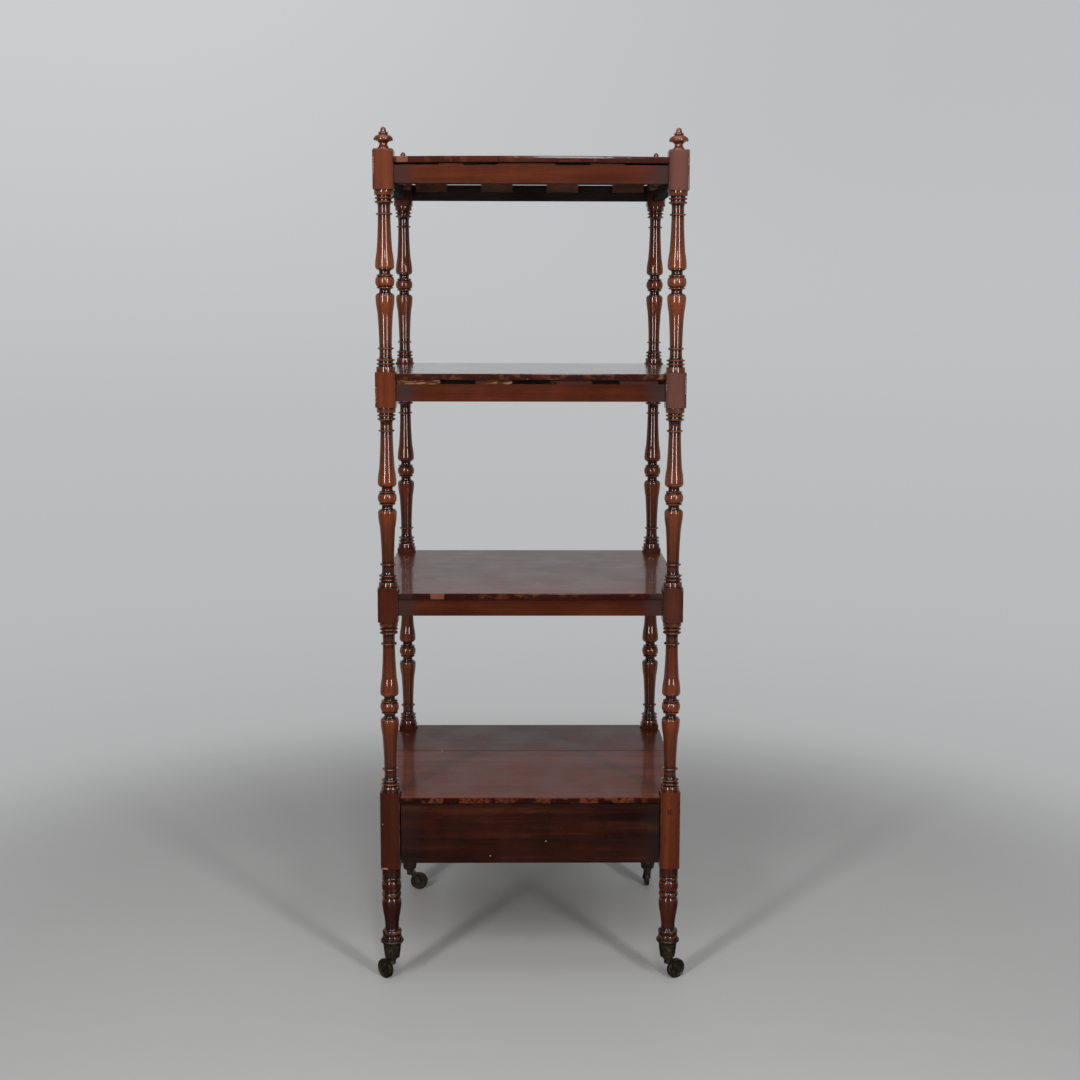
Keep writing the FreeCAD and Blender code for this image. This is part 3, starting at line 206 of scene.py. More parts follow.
class Finish:
    """A procedural material that is being put together."""

    def __init__(self, name):
        self.material = bpy.data.materials.new(name)
        self.material.use_nodes = True
        self.tree = self.material.node_tree
        self.tree.nodes.clear()
        where = self.add("ShaderNodeTexCoord")
        self.place, self.facing = where.outputs["Object"], where.outputs["Normal"]
        self.axes = None

    def add(self, kind, **settings):
        """A new node with its settings."""
        node = self.tree.nodes.new(kind)
        for key, setting in settings.items():
            setattr(node, key, setting)
        return node

    def feed(self, socket, value):
        """Puts a value, a colour or another node's output into the socket."""
        if isinstance(value, bpy.types.NodeSocket):
            self.tree.links.new(value, socket)
        elif hasattr(value, "__len__") and len(value) == 3 and socket.type == "RGBA":
            socket.default_value = (*value, 1.0)
        else:
            socket.default_value = value

    def noise(self, stretch, detail=3.0, rough=0.5, warp=0.0, shift=(0.0, 0.0, 0.0)):
        """Noise with so many lumps a metre along each axis."""
        mapping = self.add("ShaderNodeMapping")
        mapping.inputs["Scale"].default_value = stretch
        mapping.inputs["Location"].default_value = shift
        self.feed(mapping.inputs["Vector"], self.place)
        node = self.add("ShaderNodeTexNoise")
        self.feed(node.inputs["Vector"], mapping.outputs["Vector"])
        for label, value in (("Scale", 1.0), ("Detail", detail), ("Roughness", rough), ("Distortion", warp)):
            node.inputs[label].default_value = value
        return node.outputs["Fac"]

    def span(self, value, low, high, first=0.0, last=1.0, smooth=True):
        """The value's place between low and high, laid out from first to last."""
        node = self.add("ShaderNodeMapRange", interpolation_type="SMOOTHSTEP" if smooth else "LINEAR")
        for label, number in (
            ("Value", value), ("From Min", low), ("From Max", high), ("To Min", first), ("To Max", last)
        ):
            self.feed(node.inputs[label], number)
        return node.outputs["Result"]

    def math(self, operation, *values, clamp=False):
        node = self.add("ShaderNodeMath", operation=operation, use_clamp=clamp)
        for socket, value in zip(node.inputs, values):
            self.feed(socket, value)
        return node.outputs[0]

    def plus(self, first, second, clamp=False):
        return self.math("ADD", first, second, clamp=clamp)

    def minus(self, first, second):
        return self.math("SUBTRACT", first, second)

    def times(self, first, second):
        return self.math("MULTIPLY", first, second)

    def most(self, first, second):
        return self.math("MAXIMUM", first, second)

    def blend(self, share, first, second, kind="MIX"):
        node = self.add("ShaderNodeMix", data_type="RGBA", blend_type=kind)
        for index, value in ((0, share), (6, first), (7, second)):
            self.feed(node.inputs[index], value)
        return node.outputs[2]

    def paint(self, base, rgb, mask, share=1.0):
        """The base with a colour laid over it where the mask is, as thickly as the share says."""
        return self.blend(mask if share == 1.0 else self.times(mask, share), base, rgb)

    def ramp(self, value, stops):
        """A colour for each value, faded between stops of (place, colour)."""
        node = self.add("ShaderNodeValToRGB")
        bar = node.color_ramp
        while len(bar.elements) < len(stops):
            bar.elements.new(0.5)
        for element, (where, rgb) in zip(bar.elements, stops):
            element.position = where
            element.color = (*rgb, 1.0)
        self.feed(node.inputs["Fac"], value)
        return node.outputs["Color"]

    def reading(self, name):
        """A value that the piece's mesh carries, such as wear or grime."""
        return self.add("ShaderNodeAttribute", attribute_name=name).outputs["Fac"]

    def vector(self, operation, *values, result="Vector"):
        node = self.add("ShaderNodeVectorMath", operation=operation)
        for socket, value in zip(node.inputs, values):
            self.feed(socket, value)
        return node.outputs[result]

    def upward(self):
        """How far a face looks up: one on a level top, nought on an upright face."""
        return self.vector("DOT_PRODUCT", self.facing, (0.0, 0.0, 1.0), result="Value")

    def unpolished_in_shade(self, inside):
        """One on undersides and, with inside, on upright faces that look to the middle of the whole;
        these faces lose their coat and are painted nearly black as painted shade.
        """
        under = self.span(self.upward(), -0.75, -0.4, 1.0, 0.0)
        if not inside:
            return under
        level = self.vector("MULTIPLY", self.facing, (1.0, 1.0, 0.0))
        outward = self.vector("DOT_PRODUCT", self.place, level, result="Value")
        return self.most(under, self.span(outward, -0.08, -0.04, 1.0, 0.0))

    def patch(self, low, high, soft, ragged=0.0, shift=(0.0, 0.0, 0.0)):
        """One inside a box given in millimetres, nought outside it, with a ragged or plain edge."""
        if self.axes is None:
            parts = self.add("ShaderNodeSeparateXYZ")
            self.feed(parts.inputs[0], self.place)
            self.axes = parts.outputs
        inside = unevenness = None
        if ragged:
            lumps = self.noise(evenly(420.0), 3.0, 0.6, shift=shift)
            unevenness = self.times(self.minus(lumps, 0.5), ragged * MM)
        for axis, a, b in zip(self.axes, low, high):
            if a is None or b is None:
                continue
            middle, half = (a + b) / 2 * MM, (b - a) / 2 * MM
            away = self.math("ABSOLUTE", self.minus(axis, middle))
            if unevenness is not None:
                away = self.plus(away, unevenness)
            near = self.span(away, half - soft * MM, half + soft * MM, 1.0, 0.0)
            inside = near if inside is None else self.times(inside, near)
        return inside

    def front_spot(self, face, low, high, soft, ragged):
        """A patch on an upright front face; low and high are (x, z) in millimetres."""
        return self.patch((low[0], face[0], low[1]), (high[0], face[1], high[1]), soft, ragged)

    def ends(self, soft, share):
        """That share near the posts, fading to nought towards the middle of a rail."""
        middle = self.patch((-190.0, None, None), (190.0, None, None), soft)
        return self.span(middle, 0.0, 1.0, share, 0.0)

    def edge_band(self, start, end, back, soft, ragged=0.0, shift=(0.0, 0.0, 0.0)):
        """A patch on a board's front edge from start to end that goes as far back as that place."""
        return self.patch((start, BEFORE_BOARDS, None), (end, back, None), soft, ragged, shift)

    def bump(self, height, distance, strength, before=None):
        """Relief of so many metres, laid over the relief that comes before it."""
        node = self.add("ShaderNodeBump")
        node.inputs["Strength"].default_value = strength
        node.inputs["Distance"].default_value = distance
        self.feed(node.inputs["Height"], height)
        if before is not None:
            self.feed(node.inputs["Normal"], before)
        return node.outputs["Normal"]

    def close(self, **looks):
        """Ends in one shader; the names are the shader's own, with _ for a space."""
        shader = self.add("ShaderNodeBsdfPrincipled")
        for label, value in looks.items():
            self.feed(shader.inputs[label.replace("_", " ")], value)
        output = self.add("ShaderNodeOutputMaterial")
        self.tree.links.new(shader.outputs[0], output.inputs["Surface"])
        return self.material


def wood_colours():
    """The colours that are set for wood and brass."""
    return bpy.context.scene.whatnot_finish


def along(axis, with_grain, across):
    """Lumps a metre for a board whose grain runs along that axis."""
    return tuple(with_grain if name == axis else across for name in "XYZ")


def evenly(lumps):
    """So many lumps a metre along each axis."""
    return (lumps, lumps, lumps)


def polished_wood(name, axis, *, tone=0.0, depth=1.0, contrast=1.0, grain=0.5, shift=(0.0, 0.0, 0.0),
                  gloss=0.24, coat=0.6, shine=0.3, lustre=1.5, waviness=0.16, haze=0.0,
                  carved=False, uneven=False, raw_in_shade="", details=None):
    """French-polished wood with streaks, fine fibres, open pores and uneven old polish.

    Tone, depth, contrast, grain and shift set its figure; gloss, coat, shine, lustre and waviness its
    polish; haze its film. A carved piece carries its own readings of tone, film, grime and wear, and with
    uneven also one of polish; on the posts the tone is painted light and the grime partly painted shade.
    The raw setting, "under" or "inside", picks faces that were never polished; they lose their coat and
    are painted nearly black as painted shade.
    """
    wood, colours = Finish(name), wood_colours()
    dark, middle, light = (
        tuple(depth * channel for channel in rgb)
        for rgb in (colours.polish_dark, colours.polish_middle, colours.polish_light)
    )

    def grained(with_grain, across, detail, rough=0.5, warp=0.0):
        return wood.noise(along(axis, with_grain, across), detail, rough, warp, shift)

    streaks = grained(3.2, 62.0, 4.0, 0.55, 0.35)
    bands = grained(1.1, 17.0, 3.0, warp=0.2)
    fibres = grained(38.0, 1150.0, 2.0)
    pores = grained(120.0, 1900.0, 1.0)
    waves = grained(22.0, 60.0, 2.0)
    cloud = wood.noise((13.0, 13.0, 9.0), 3.0, 0.55, 0.3, shift)
    figure = wood.plus(wood.plus(wood.times(streaks, 0.5), wood.times(bands, 0.28)), wood.times(cloud, 0.22))
    figure = wood.plus(wood.times(wood.minus(figure, 0.5), grain), 0.5 + tone)
    if carved:
        # On the posts the tone reading is painted light, mostly lighter higher up.
        figure = wood.plus(figure, wood.reading("tone"))
    spread = 0.14 / contrast
    base = wood.ramp(figure, ((0.5 - spread, dark), (0.5, middle), (0.5 + spread, light)))
    base = wood.paint(base, dark, wood.span(fibres, 0.35, 0.75, 0.0, 0.7 * grain))
    base = wood.paint(base, colours.grime_and_shade, wood.span(pores, 0.64, 0.72, 0.0, 0.5))
    rough = wood.span(cloud, 0.3, 0.7, gloss, gloss + 0.12)
    if haze:
        patches = wood.noise((21.0, 21.0, 15.0), 4.0, 0.6, 0.5, shift)
        base = wood.paint(base, colours.film, wood.span(patches, 0.3, 0.68, 0.35 * haze, haze))
    if carved:
        grime_and_shade = wood.reading("grime_and_shade")
        # The posts' grime reading is partly painted shade, at thin necks, the ends of the turned work and the
        # blocks' sides.
        rub = wood.times(wood.reading("wear"), wood.span(wood.noise((160.0, 160.0, 90.0)), 0.45, 0.62))
        base = wood.paint(base, colours.film, wood.reading("film"))
        base = wood.paint(base, colours.grime_and_shade, grime_and_shade, 0.86)
        base = wood.paint(base, colours.worn, rub, 0.6)
        rough = wood.plus(rough, wood.times(grime_and_shade, 0.22))
    if details:
        base, rough = details(wood, base, rough)
    if uneven:
        coat = wood.times(wood.reading("polish"), coat)
    # Undersides and inner faces lose their coat and are painted nearly black: painted shade, with lighter
    # fibres.
    if raw_in_shade:
        bare = wood.unpolished_in_shade(raw_in_shade == "inside")
        dust = wood.blend(wood.span(fibres, 0.35, 0.75), colours.raw_in_shade, tuple(2.2 * v for v in colours.raw_in_shade))
        base = wood.paint(base, dust, bare)
        rough = wood.most(rough, wood.times(bare, 0.8))
        coat = wood.span(bare, 0.0, 1.0, coat, 0.0, smooth=False)
    return wood.close(
        Base_Color=base, Roughness=rough, Specular_IOR_Level=shine,
        Coat_Weight=coat, Coat_Roughness=0.085, Coat_IOR=lustre,
        Normal=wood.bump(fibres, 0.00004, 0.4, wood.bump(waves, 0.0011, waviness)),
    )


def plain_wood(name, axis, light, dark, shift=(0.0, 0.0, 0.0)):
    """Planed wood that was never polished, with dust on it."""
    wood = Finish(name)
    streaks = wood.noise(along(axis, 5.0, 90.0), 4.0, 0.55, 0.3, shift)
    fibres = wood.noise(along(axis, 60.0, 1200.0), 3.0, 0.6, 0.0, shift)
    dirt = wood.noise(evenly(24.0), 4.0, 0.6, 0.2, shift)
    base = wood.ramp(streaks, ((0.33, dark), (0.66, light)))
    base = wood.paint(base, dark, wood.span(fibres, 0.4, 0.7, 0.0, 0.4))
    base = wood.paint(base, DUST, wood.span(dirt, 0.45, 0.7, 0.0, 0.45))
    return wood.close(
        Base_Color=base, Roughness=wood.span(dirt, 0.3, 0.7, 0.55, 0.8), Normal=wood.bump(fibres, 0.0003, 0.6)
    )


def patinated_brass(name, rubbed, rough):
    """Brass gone brown and olive, rubbed lighter in places."""
    metal, colours = Finish(name), wood_colours()
    cloud = metal.noise(evenly(150.0), 5.0, 0.6, 0.4)
    specks = metal.noise(evenly(900.0), 3.0, 0.65)
    share = metal.plus(metal.times(cloud, 0.7), metal.times(specks, 0.3))
    base = metal.blend(metal.span(share, 0.42, 0.66, 0.0, rubbed), colours.brass_dark, colours.brass_light)
    base = metal.paint(base, VERDIGRIS, metal.span(specks, 0.6, 0.75, 0.0, 0.5))
    return metal.close(
        Base_Color=base, Metallic=0.82, Roughness=metal.span(cloud, 0.3, 0.7, rough, rough + 0.2),
        Specular_IOR_Level=0.4, Normal=metal.bump(specks, 0.0002, 0.5, metal.bump(cloud, 0.0006, 0.35)),
    )


def centre_of(node):
    """The middle of a node's box."""
    low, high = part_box(node)
    return (low + high) / 2


def stand_for(piece, node):
    """The piece rides on the frame in the place of that node, which is hidden."""
    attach(piece, "frame")
    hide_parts(node)


def give(piece, material):
    """The piece shows that material and no other."""
    piece.data.materials.clear()
    piece.data.materials.append(material)


def dress(nodes, material):
    """CAD nodes keep their shape and get a better finish."""
    for name in nodes:
        give(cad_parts[name], material)


# ---------------------------------------------------------------- turning


def half_round(low, high, base, crest, steps):
    """A bead: half an ellipse that stands on the line from low to high."""
    middle, half = (low + high) / 2, (high - low) / 2
    turns = [math.pi * step / steps for step in range(steps + 1)]
    return [(middle - half * math.cos(t), base + (crest - base) * math.sin(t)) for t in turns]


def quarter(start, end, out_first, steps):
    """A quarter of an ellipse from start to end; out_first leaves start at right angles to the axis."""
    (a, r), (b, s) = start, end
    points = []
    for step in range(steps + 1):
        t = math.pi / 2 * step / steps
        if out_first:
            points.append((a + (b - a) * (1 - math.cos(t)), r + (s - r) * math.sin(t)))
        else:
            points.append((a + (b - a) * math.sin(t), r + (s - r) * (1 - math.cos(t))))
    return points


def fair(points, steps):
    """A smooth line through the points."""
    line = []
    for i in range(len(points) - 1):
        p0, p1, p2, p3 = (Vector(points[max(0, min(len(points) - 1, i + k))]) for k in (-1, 0, 1, 2))
        for step in range(steps):
            t = step / steps
            where = 0.5 * (
                2 * p1 + (p2 - p0) * t + (2 * p0 - 5 * p1 + 4 * p2 - p3) * t * t
                + (3 * p1 - p0 - 3 * p2 + p3) * t ** 3
            )
            line.append(tuple(where))
    return line + [tuple(points[-1])]


def turned_half(half, sizes):
    """Distance from the middle and radius, from the ball out to the collar, in millimetres."""
    collar, bead, quirk, neck, ring, turn, vase, waist, ball = (
        getattr(sizes, name) / MM
        for name in ("collar", "bead", "quirk", "neck", "ring", "turn", "vase", "waist", "ball")
    )
    # The flattened ball with its ring, the waist and the lip.
    ball_half, ball_seat = 7.9, 11.9
    turns = [math.pi / 2 * step / 7 for step in range(8)]
    line = [(ball_half * math.sin(t), ball_seat + (ball - ball_seat) * math.cos(t)) for t in turns]
    line += half_round(8.5, 11.2, 11.6, ring + 0.5, 5)
    line += quarter((11.3, 11.4), (13.1, waist), True, 3)
    line += quarter((15.9, waist), (18.7, 12.2), False, 4)
    line += [(18.8, 12.5), (19.3, 12.6), (19.4, 13.5), (20.6, 13.6)]
    line += quarter((20.7, 13.9), (24.1, vase), True, 5)
    # The vase: its belly, then the hollow up to the thin ring.
    belly_end, ring_height = 47.6, 3.6
    line += fair([(24.1, vase), (30.0, vase - 0.2), (35.9, vase - 0.75), (41.8, vase - 1.55),
                  (belly_end, turn)], 2)[1:]
    ring_top = half - 35.55
    reach = ring_top - ring_height - belly_end
    hollow = ((0.0, 1.0), (0.12, 0.78), (0.25, 0.6), (0.5, 0.31), (0.75, 0.11), (1.0, 0.0))
    line += fair([(belly_end + reach * share, neck + (turn - neck) * rise) for share, rise in hollow], 2)[1:]
    line += half_round(ring_top - ring_height, ring_top, neck, ring, 6)[1:]
    # The slim neck, the cove, two beads between quirks and the collar.
    line += [(half - 30.0, neck - 0.15), (half - 24.4, neck)]
    line += quarter((half - 24.4, neck), (half - 20.5, quirk), False, 5)[1:]
    sunk = quirk - 0.9
    line += half_round(half - 20.3, half - 16.9, quirk, bead, 6)
    line += [(half - 16.7, sunk), (half - 14.3, sunk)]
    line += half_round(half - 14.1, half - 10.7, quirk, bead, 6)
    line += [(half - 10.5, sunk), (half - 9.3, sunk), (half - 8.2, quirk)]
    return line + [(half - 8.0, collar - 0.3), (half - 7.6, collar), (half, collar)]


def turned_foot_line():
    """Height above the castor's rim and radius of the turned foot, in millimetres."""
    quirk, bulge_foot = 14.2, 14.5
    ankle, bulge, waist, shoulder = 11.4, 16.4, 14.9, 15.9
    line = [(0.05, 15.8), (0.4, 16.1), (7.1, 16.1), (7.5, 15.8), (8.4, 15.0), (10.1, 14.9)]
    line += half_round(10.3, 17.3, 14.9, 16.3, 7)
    line += quarter((17.4, quirk), (20.5, ankle), True, 4)
    line += fair([(20.5, ankle), (26.0, ankle), (32.4, 11.95), (37.7, 12.6), (43.0, 13.35), (48.3, 14.3),
                  (53.6, 15.15), (58.9, 16.0), (65.1, bulge), (70.2, 16.0), (74.3, 14.6)], 2)[1:]
    line += [(75.0, quirk), (76.2, 14.3)]
    line += half_round(76.4, 84.2, bulge_foot, 16.3, 7)
    line += [(85.2, quirk), (86.0, quirk)]
    line += half_round(86.4, 104.0, bulge_foot, bulge, 10)
    line += [(104.6, quirk), (105.2, quirk)]
    line += half_round(105.4, 111.6, 14.6, 16.1, 6)
    line += [(112.2, waist), (112.9, waist), (113.5, 15.7), (118.5, 15.8)]
    return line + [(124.0, shoulder), (127.3, shoulder)]


def skin(shape, rings):
    """Faces between each ring of corners and the next one."""
    for below, above in zip(rings, rings[1:]):
        for i in range(len(below)):
            j = (i + 1) % len(below)
            shape.faces.new((below[i], below[j], above[j], above[i]))


def lathe(rows, angles):
    """Mesh of rows of radii, capped at both ends; each row is a height and one radius for each angle."""
    shape = bmesh.new()
    rings = [
        [shape.verts.new((radius * math.cos(turn) * MM, radius * math.sin(turn) * MM, height * MM))
         for turn, radius in zip(angles, radii)]
        for height, radii in rows
    ]
    skin(shape, rings)
    for ring, height, turned in ((rings[0], rows[0][0], True), (rings[-1], rows[-1][0], False)):
        centre = shape.verts.new((0.0, 0.0, height * MM))
        for a, b in zip(ring, ring[1:] + ring[:1]):
            shape.faces.new((centre, b, a) if turned else (centre, a, b))
    return shape


def finish_mesh(shape, name, place=(0.0, 0.0, 0.0), sharp=32.0, readings=None):
    """Object from the mesh, with crisp edges where it turns sharply and its readings as attributes."""
    bmesh.ops.translate(shape, verts=shape.verts, vec=place)
    bmesh.ops.recalc_face_normals(shape, faces=shape.faces)
    shape.normal_update()
    for edge in shape.edges:
        edge.smooth = edge.calc_face_angle(0.0) < math.radians(sharp)
    for face in shape.faces:
        face.smooth = True
    mesh = bpy.data.meshes.new(name)
    shape.verts.index_update()
    shape.to_mesh(mesh)
    shape.free()
    for label, numbers in (readings or {}).items():
        layer = mesh.attributes.new(label, "FLOAT", "POINT")
        layer.data.foreach_set("value", numbers)
    piece = bpy.data.objects.new(name, mesh)
    bpy.context.scene.collection.objects.link(piece)
    return piece


def from_face(turn):
    """The angle in radians from the middle of the nearest face of a square block."""
    return (turn + math.pi / 4) % (math.pi / 2) - math.pi / 4


def square_radii(angles, half, worn):
    """Radii of a square block whose arrises are worn down by so much each."""
    radii = []
    for index, turn in enumerate(angles):
        local = from_face(turn)
        to_corner = math.pi / 4 - abs(local)
        corner = (index + 7) // len(RING_ANGLES) % 4
        radii.append(min(half / math.cos(local), (half * math.sqrt(2) - worn[corner]) / math.cos(to_corner)))
    return radii


def post_rows(sizes, angles, seed):
    """Rows of one post, each with its readings of grime and wear."""
    pommel, arris = sizes.pommel / MM, sizes.arris / MM
    rows = []

    def turned(height, radius, grime_and_shade=0.0, wear=0.0):
        rows.append((height, [radius] * len(angles), grime_and_shade, wear))

    def block(height, half=HALF_BLOCK, cut=UNCUT, grime_and_shade=0.0):
        """A square row whose arrises are worn unevenly along the post."""
        worn = [arris * (1.0 + 0.9 * noise.noise(Vector((seed * 7.1, corner * 5.3, height * 0.045)))
                         + 0.6 * noise.noise(Vector((seed * 3.7, corner * 2.9, height * 0.19)))) + 0.12
                for corner in range(4)]
        rows.append((height, [min(radius, cut) for radius in square_radii(angles, half, worn)], grime_and_shade, 0.0))

    def turned_line(line):
        """Hollows are darkened, thin necks and both ends get painted shade, and crests are rubbed."""
        first, last = line[0][0], line[-1][0]
        for index, (height, radius) in enumerate(line):
            near = [r for h, r in line[max(0, index - 9):index + 10] if abs(h - height) < 4.2]
            depth = max(near) - radius
            rise = radius - sum(near) / len(near)
            dull = SHADE_SHARE if min(height - first, last - height) < SHADE_REACH else 0.0
            dull = max(dull, SHADE_SHARE * min(1.0, max(0.0, (THIN_RADIUS - radius) / THIN_SPAN)))
            grime_and_shade = min(1.0, dull + max(0.0, depth - 0.5) / 1.8)
            turned(height, radius, grime_and_shade, min(1.0, max(0.0, rise) / 1.1))

    def pommel_cut(end, way, cuts):
        for share, cut in cuts:
            # The rounded cut is painted darker at the block's end, where it meets the turned work: painted
            # shade in the crease.
            block(end + way * share * pommel, cut=cut, grime_and_shade=0.5 * (1.0 - share))

    for height, radius in POST_TIP:
        turned(height, radius)
    turned_line([(RIM_TOP + height, radius) for height, radius in turned_foot_line()])
    for index, (low, high) in enumerate(BLOCKS):
        pommel_cut(low, 1, POMMEL_CUT)
        spans = max(3, round((high - low) / 9.0))
        for step in range(1, spans):
            block(low + 1.2 * pommel + (high - low - 2.4 * pommel) * step / spans)
        if index == len(BLOCKS) - 1:
            for drop, shrink in HEAD_BEVEL:
                block(high - drop, HALF_BLOCK - shrink)
            break
        pommel_cut(high, -1, POMMEL_CUT[::-1])
        half = (BLOCKS[index + 1][0] - high) / 2
        middle = high + half
        line = turned_half(half, sizes)
        turned_line([(middle - away, radius) for away, radius in line[::-1]]
                    + [(middle + away, radius) for away, radius in line[1:]])
    return rows


def block_looks(corner, height):
    """Tone and film of a post's wood at that height, the tone painted light; the turned work fades from block
    to block.
    """
    looks = BLOCK_LOOKS[corner]
    for index, (low, high) in enumerate(BLOCKS):
        tone, film = looks[index]
        if height < low:
            start = BLOCKS[index - 1][1] if index else RIM_TOP
            share = min(1.0, max(0.0, (height - start) / (low - start)))
            below = looks[index - 1][0] if index > 1 else tone
            return below * (1.0 - share) + tone * share + TURNED_LIFT[index], 0.2 * film
        if height <= high:
            return tone, film
    return looks[-1]


def make_post(corner, sizes, seed):
    """One post: square blocks with pommel cuts, beads, vases and balls, and the turned foot."""
    centre = centre_of("post_" + corner)
    angles = [math.radians(90 * side + angle) for side in range(4) for angle in RING_ANGLES]
    rows = post_rows(sizes, angles, seed)
    shape = lathe([(height, radii) for height, radii, grime_and_shade, wear in rows], angles)
    readings = {"grime_and_shade": [], "wear": [], "tone": [], "film": [], "polish": []}
    for height, radii, grime_and_shade, wear in rows:
        tone, film = block_looks(corner, height)
        square = max(radii) - min(radii) > 1.0
        for turn, radius in zip(angles, radii):
            beside = abs(from_face(turn)) / (math.pi / 4)
            # The blocks' faces are painted darker towards their arrises: painted shade.
            shade = 0.55 * max(0.0, 2.0 * beside - 1.0) ** 1.5 if square else 0.0
            on_arris = 0.5 if radius > 21.9 else 0.0
            readings["grime_and_shade"].append(max(grime_and_shade, shade))
            readings["wear"].append(max(wear, on_arris))
            readings["tone"].append(tone)
            readings["film"].append(film)
            readings["polish"].append(BLOCK_POLISH if square else 1.0)
    for numbers in readings.values():
        numbers += [0.0, 0.0]
    piece = finish_mesh(shape, "turned_post_" + corner, (centre.x, centre.y, 0.0), 38.0, readings)
    stand_for(piece, "post_" + corner)
    return piece


def finial_line():
    """Height above the post's head and radius of a finial, in millimetres."""
    line = [(-0.4, 9.5), (0.1, 9.7), (1.4, 9.8), (2.2, 9.45)]
    line += fair([(2.4, 9.3), (4.0, 7.8), (5.6, 7.0), (7.2, 6.6), (8.8, 6.6), (10.4, 7.75), (12.0, 10.2),
                  (13.1, 14.4)], 3)
    line += [(13.3, 15.1), (13.7, 15.35), (15.1, 15.5)]
    line += fair([(15.1, 15.5), (16.7, 15.35), (18.3, 14.5), (19.9, 13.0), (21.5, 10.6), (22.9, 7.2)], 3)[1:]
    line += [(23.2, 6.8), (23.5, 6.9)] + half_round(23.7, 26.0, 7.0, 8.0, 5)
    line += [(26.4, 7.2), (26.9, 5.4), (27.2, 4.8)]
    line += fair([(27.2, 4.8), (29.0, 4.8), (31.0, 4.35), (32.5, 3.5), (33.8, 2.2), (34.6, 0.9)], 3)[1:]
    return line + [(34.75, 0.4)]


# ---------------------------------------------------------------- boards


def stations(low, high, step):
    """Places from low to high in even steps."""
    places, x = [low], low
    while x < high - 0.01:
        x = min(high, x + step)
        if high - x < 1.0:
            x = high
        places.append(x)
    return places


def make_board_mesh(low, high, notch, round_edge, front_open, back_open):
    """Board from low to high in millimetres, notched at its corners, with rounded edges."""
    left, right = low[0] + notch[0], high[0] - notch[0]
    xs = sorted({low[0], low[0] + notch[0] / 2, left, right, high[0] - notch[0] / 2, high[0],
                 *stations(left, right, 4.5)})
    front = notch[1] if front_open else 0.0
    back = notch[1] if back_open else 0.0
    ys = sorted({low[1], low[1] + 4.0, low[1] + 9.0, low[1] + front, high[1] - 9.0, high[1] - 4.0, high[1],
                 *stations(low[1] + (front or 12.0), high[1] - (back or 12.0), 16.0)})

    def gone(i, j):
        x, y = (xs[i] + xs[i + 1]) / 2, (ys[j] + ys[j + 1]) / 2
        return not left < x < right and not low[1] + front < y < high[1] - back

    shape = bmesh.new()
    sheets = []
    for z in (low[2], high[2]):
        corners = {}
        for i in range(len(xs) - 1):
            for j in range(len(ys) - 1):
                if gone(i, j):
                    continue
                ring = [(i, j), (i + 1, j), (i + 1, j + 1), (i, j + 1)]
                for key in ring:
                    if key not in corners:
                        corners[key] = shape.verts.new((xs[key[0]] * MM, ys[key[1]] * MM, z * MM))
                order = ring if z == high[2] else ring[::-1]
                shape.faces.new([corners[key] for key in order])
        sheets.append(corners)
    under, over = sheets
    partner = {over[key]: under[key] for key in over}
    rims = [edge for edge in shape.edges if edge.is_boundary and edge.verts[0] in partner]
    for edge in rims:
        a, b = edge.verts
        shape.faces.new((a, b, partner[b], partner[a]))
    bmesh.ops.recalc_face_normals(shape, faces=shape.faces)
    crisp = [edge for edge in shape.edges
             if len(edge.link_faces) == 2 and edge.calc_face_angle(0.0) > 1.2
             and abs(edge.verts[0].co.z - edge.verts[1].co.z) < 1e-6]
    bmesh.ops.bevel(shape, geom=crisp, offset=round_edge * MM, segments=3, profile=0.5, affect="EDGES")
    return shape


def make_board(name, node, sizes, seed, bow=0.0, chips=(), front_open=True, back_open=True):
    """A worn board in the place of its node; chips are (x, reach, depth) in millimetres along the front."""
    low, high = (tuple(value / MM for value in corner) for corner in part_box(node))
    notch = (-low[0] - NOTCH_X, (-low[1] if front_open else high[1]) - NOTCH_Y)
    shape = make_board_mesh(low, high, notch, sizes.edge_round / MM, front_open, back_open)
    dents, half_x = sizes.dents, high[0] * MM
    front, back = low[1] * MM, high[1] * MM
    lower_half = (low[2] + high[2]) / 2 * MM + 0.001
    shape.verts.ensure_lookup_table()
    wear = []
    for vertex in shape.verts:
        x, y, z = vertex.co
        at_front = max(0.0, 1.0 - (y - front) / WORN_BAND)
        at_edge = max(at_front, 1.0 - (half_x - abs(x)) / WORN_BAND, 1.0 - (back - y) / WORN_BAND, 0.0)
        ripple = noise.noise(Vector((x * 38.0, seed * 9.7, z * 60.0)))
        small = noise.noise(Vector((x * 170.0, seed * 4.1 + 3.0, z * 90.0)))
        move = dents * at_front * (0.5 * ripple + 0.6 * small)
        for where, reach, depth in chips:
            away = abs(x - where * MM) / (reach * MM)
            if away < 1.0 and at_front > 0.5 and z < lower_half:
                move += depth * MM * (1.0 - away ** 4)
        vertex.co.y = max(front + 1e-5, y + max(0.0, move) + dents * 0.2 * at_front)
        vertex.co.z += bow * (1.0 - (x / half_x) ** 2) * max(0.0, 1.0 - (y - front) / BOW_REACH) ** 2
        wear.append(max(0.0, min(1.0, at_edge * (0.75 + 0.8 * ripple))))
    piece = finish_mesh(shape, name, readings={"wear": wear})
    stand_for(piece, node)
    return piece


# ---------------------------------------------------------------- operators


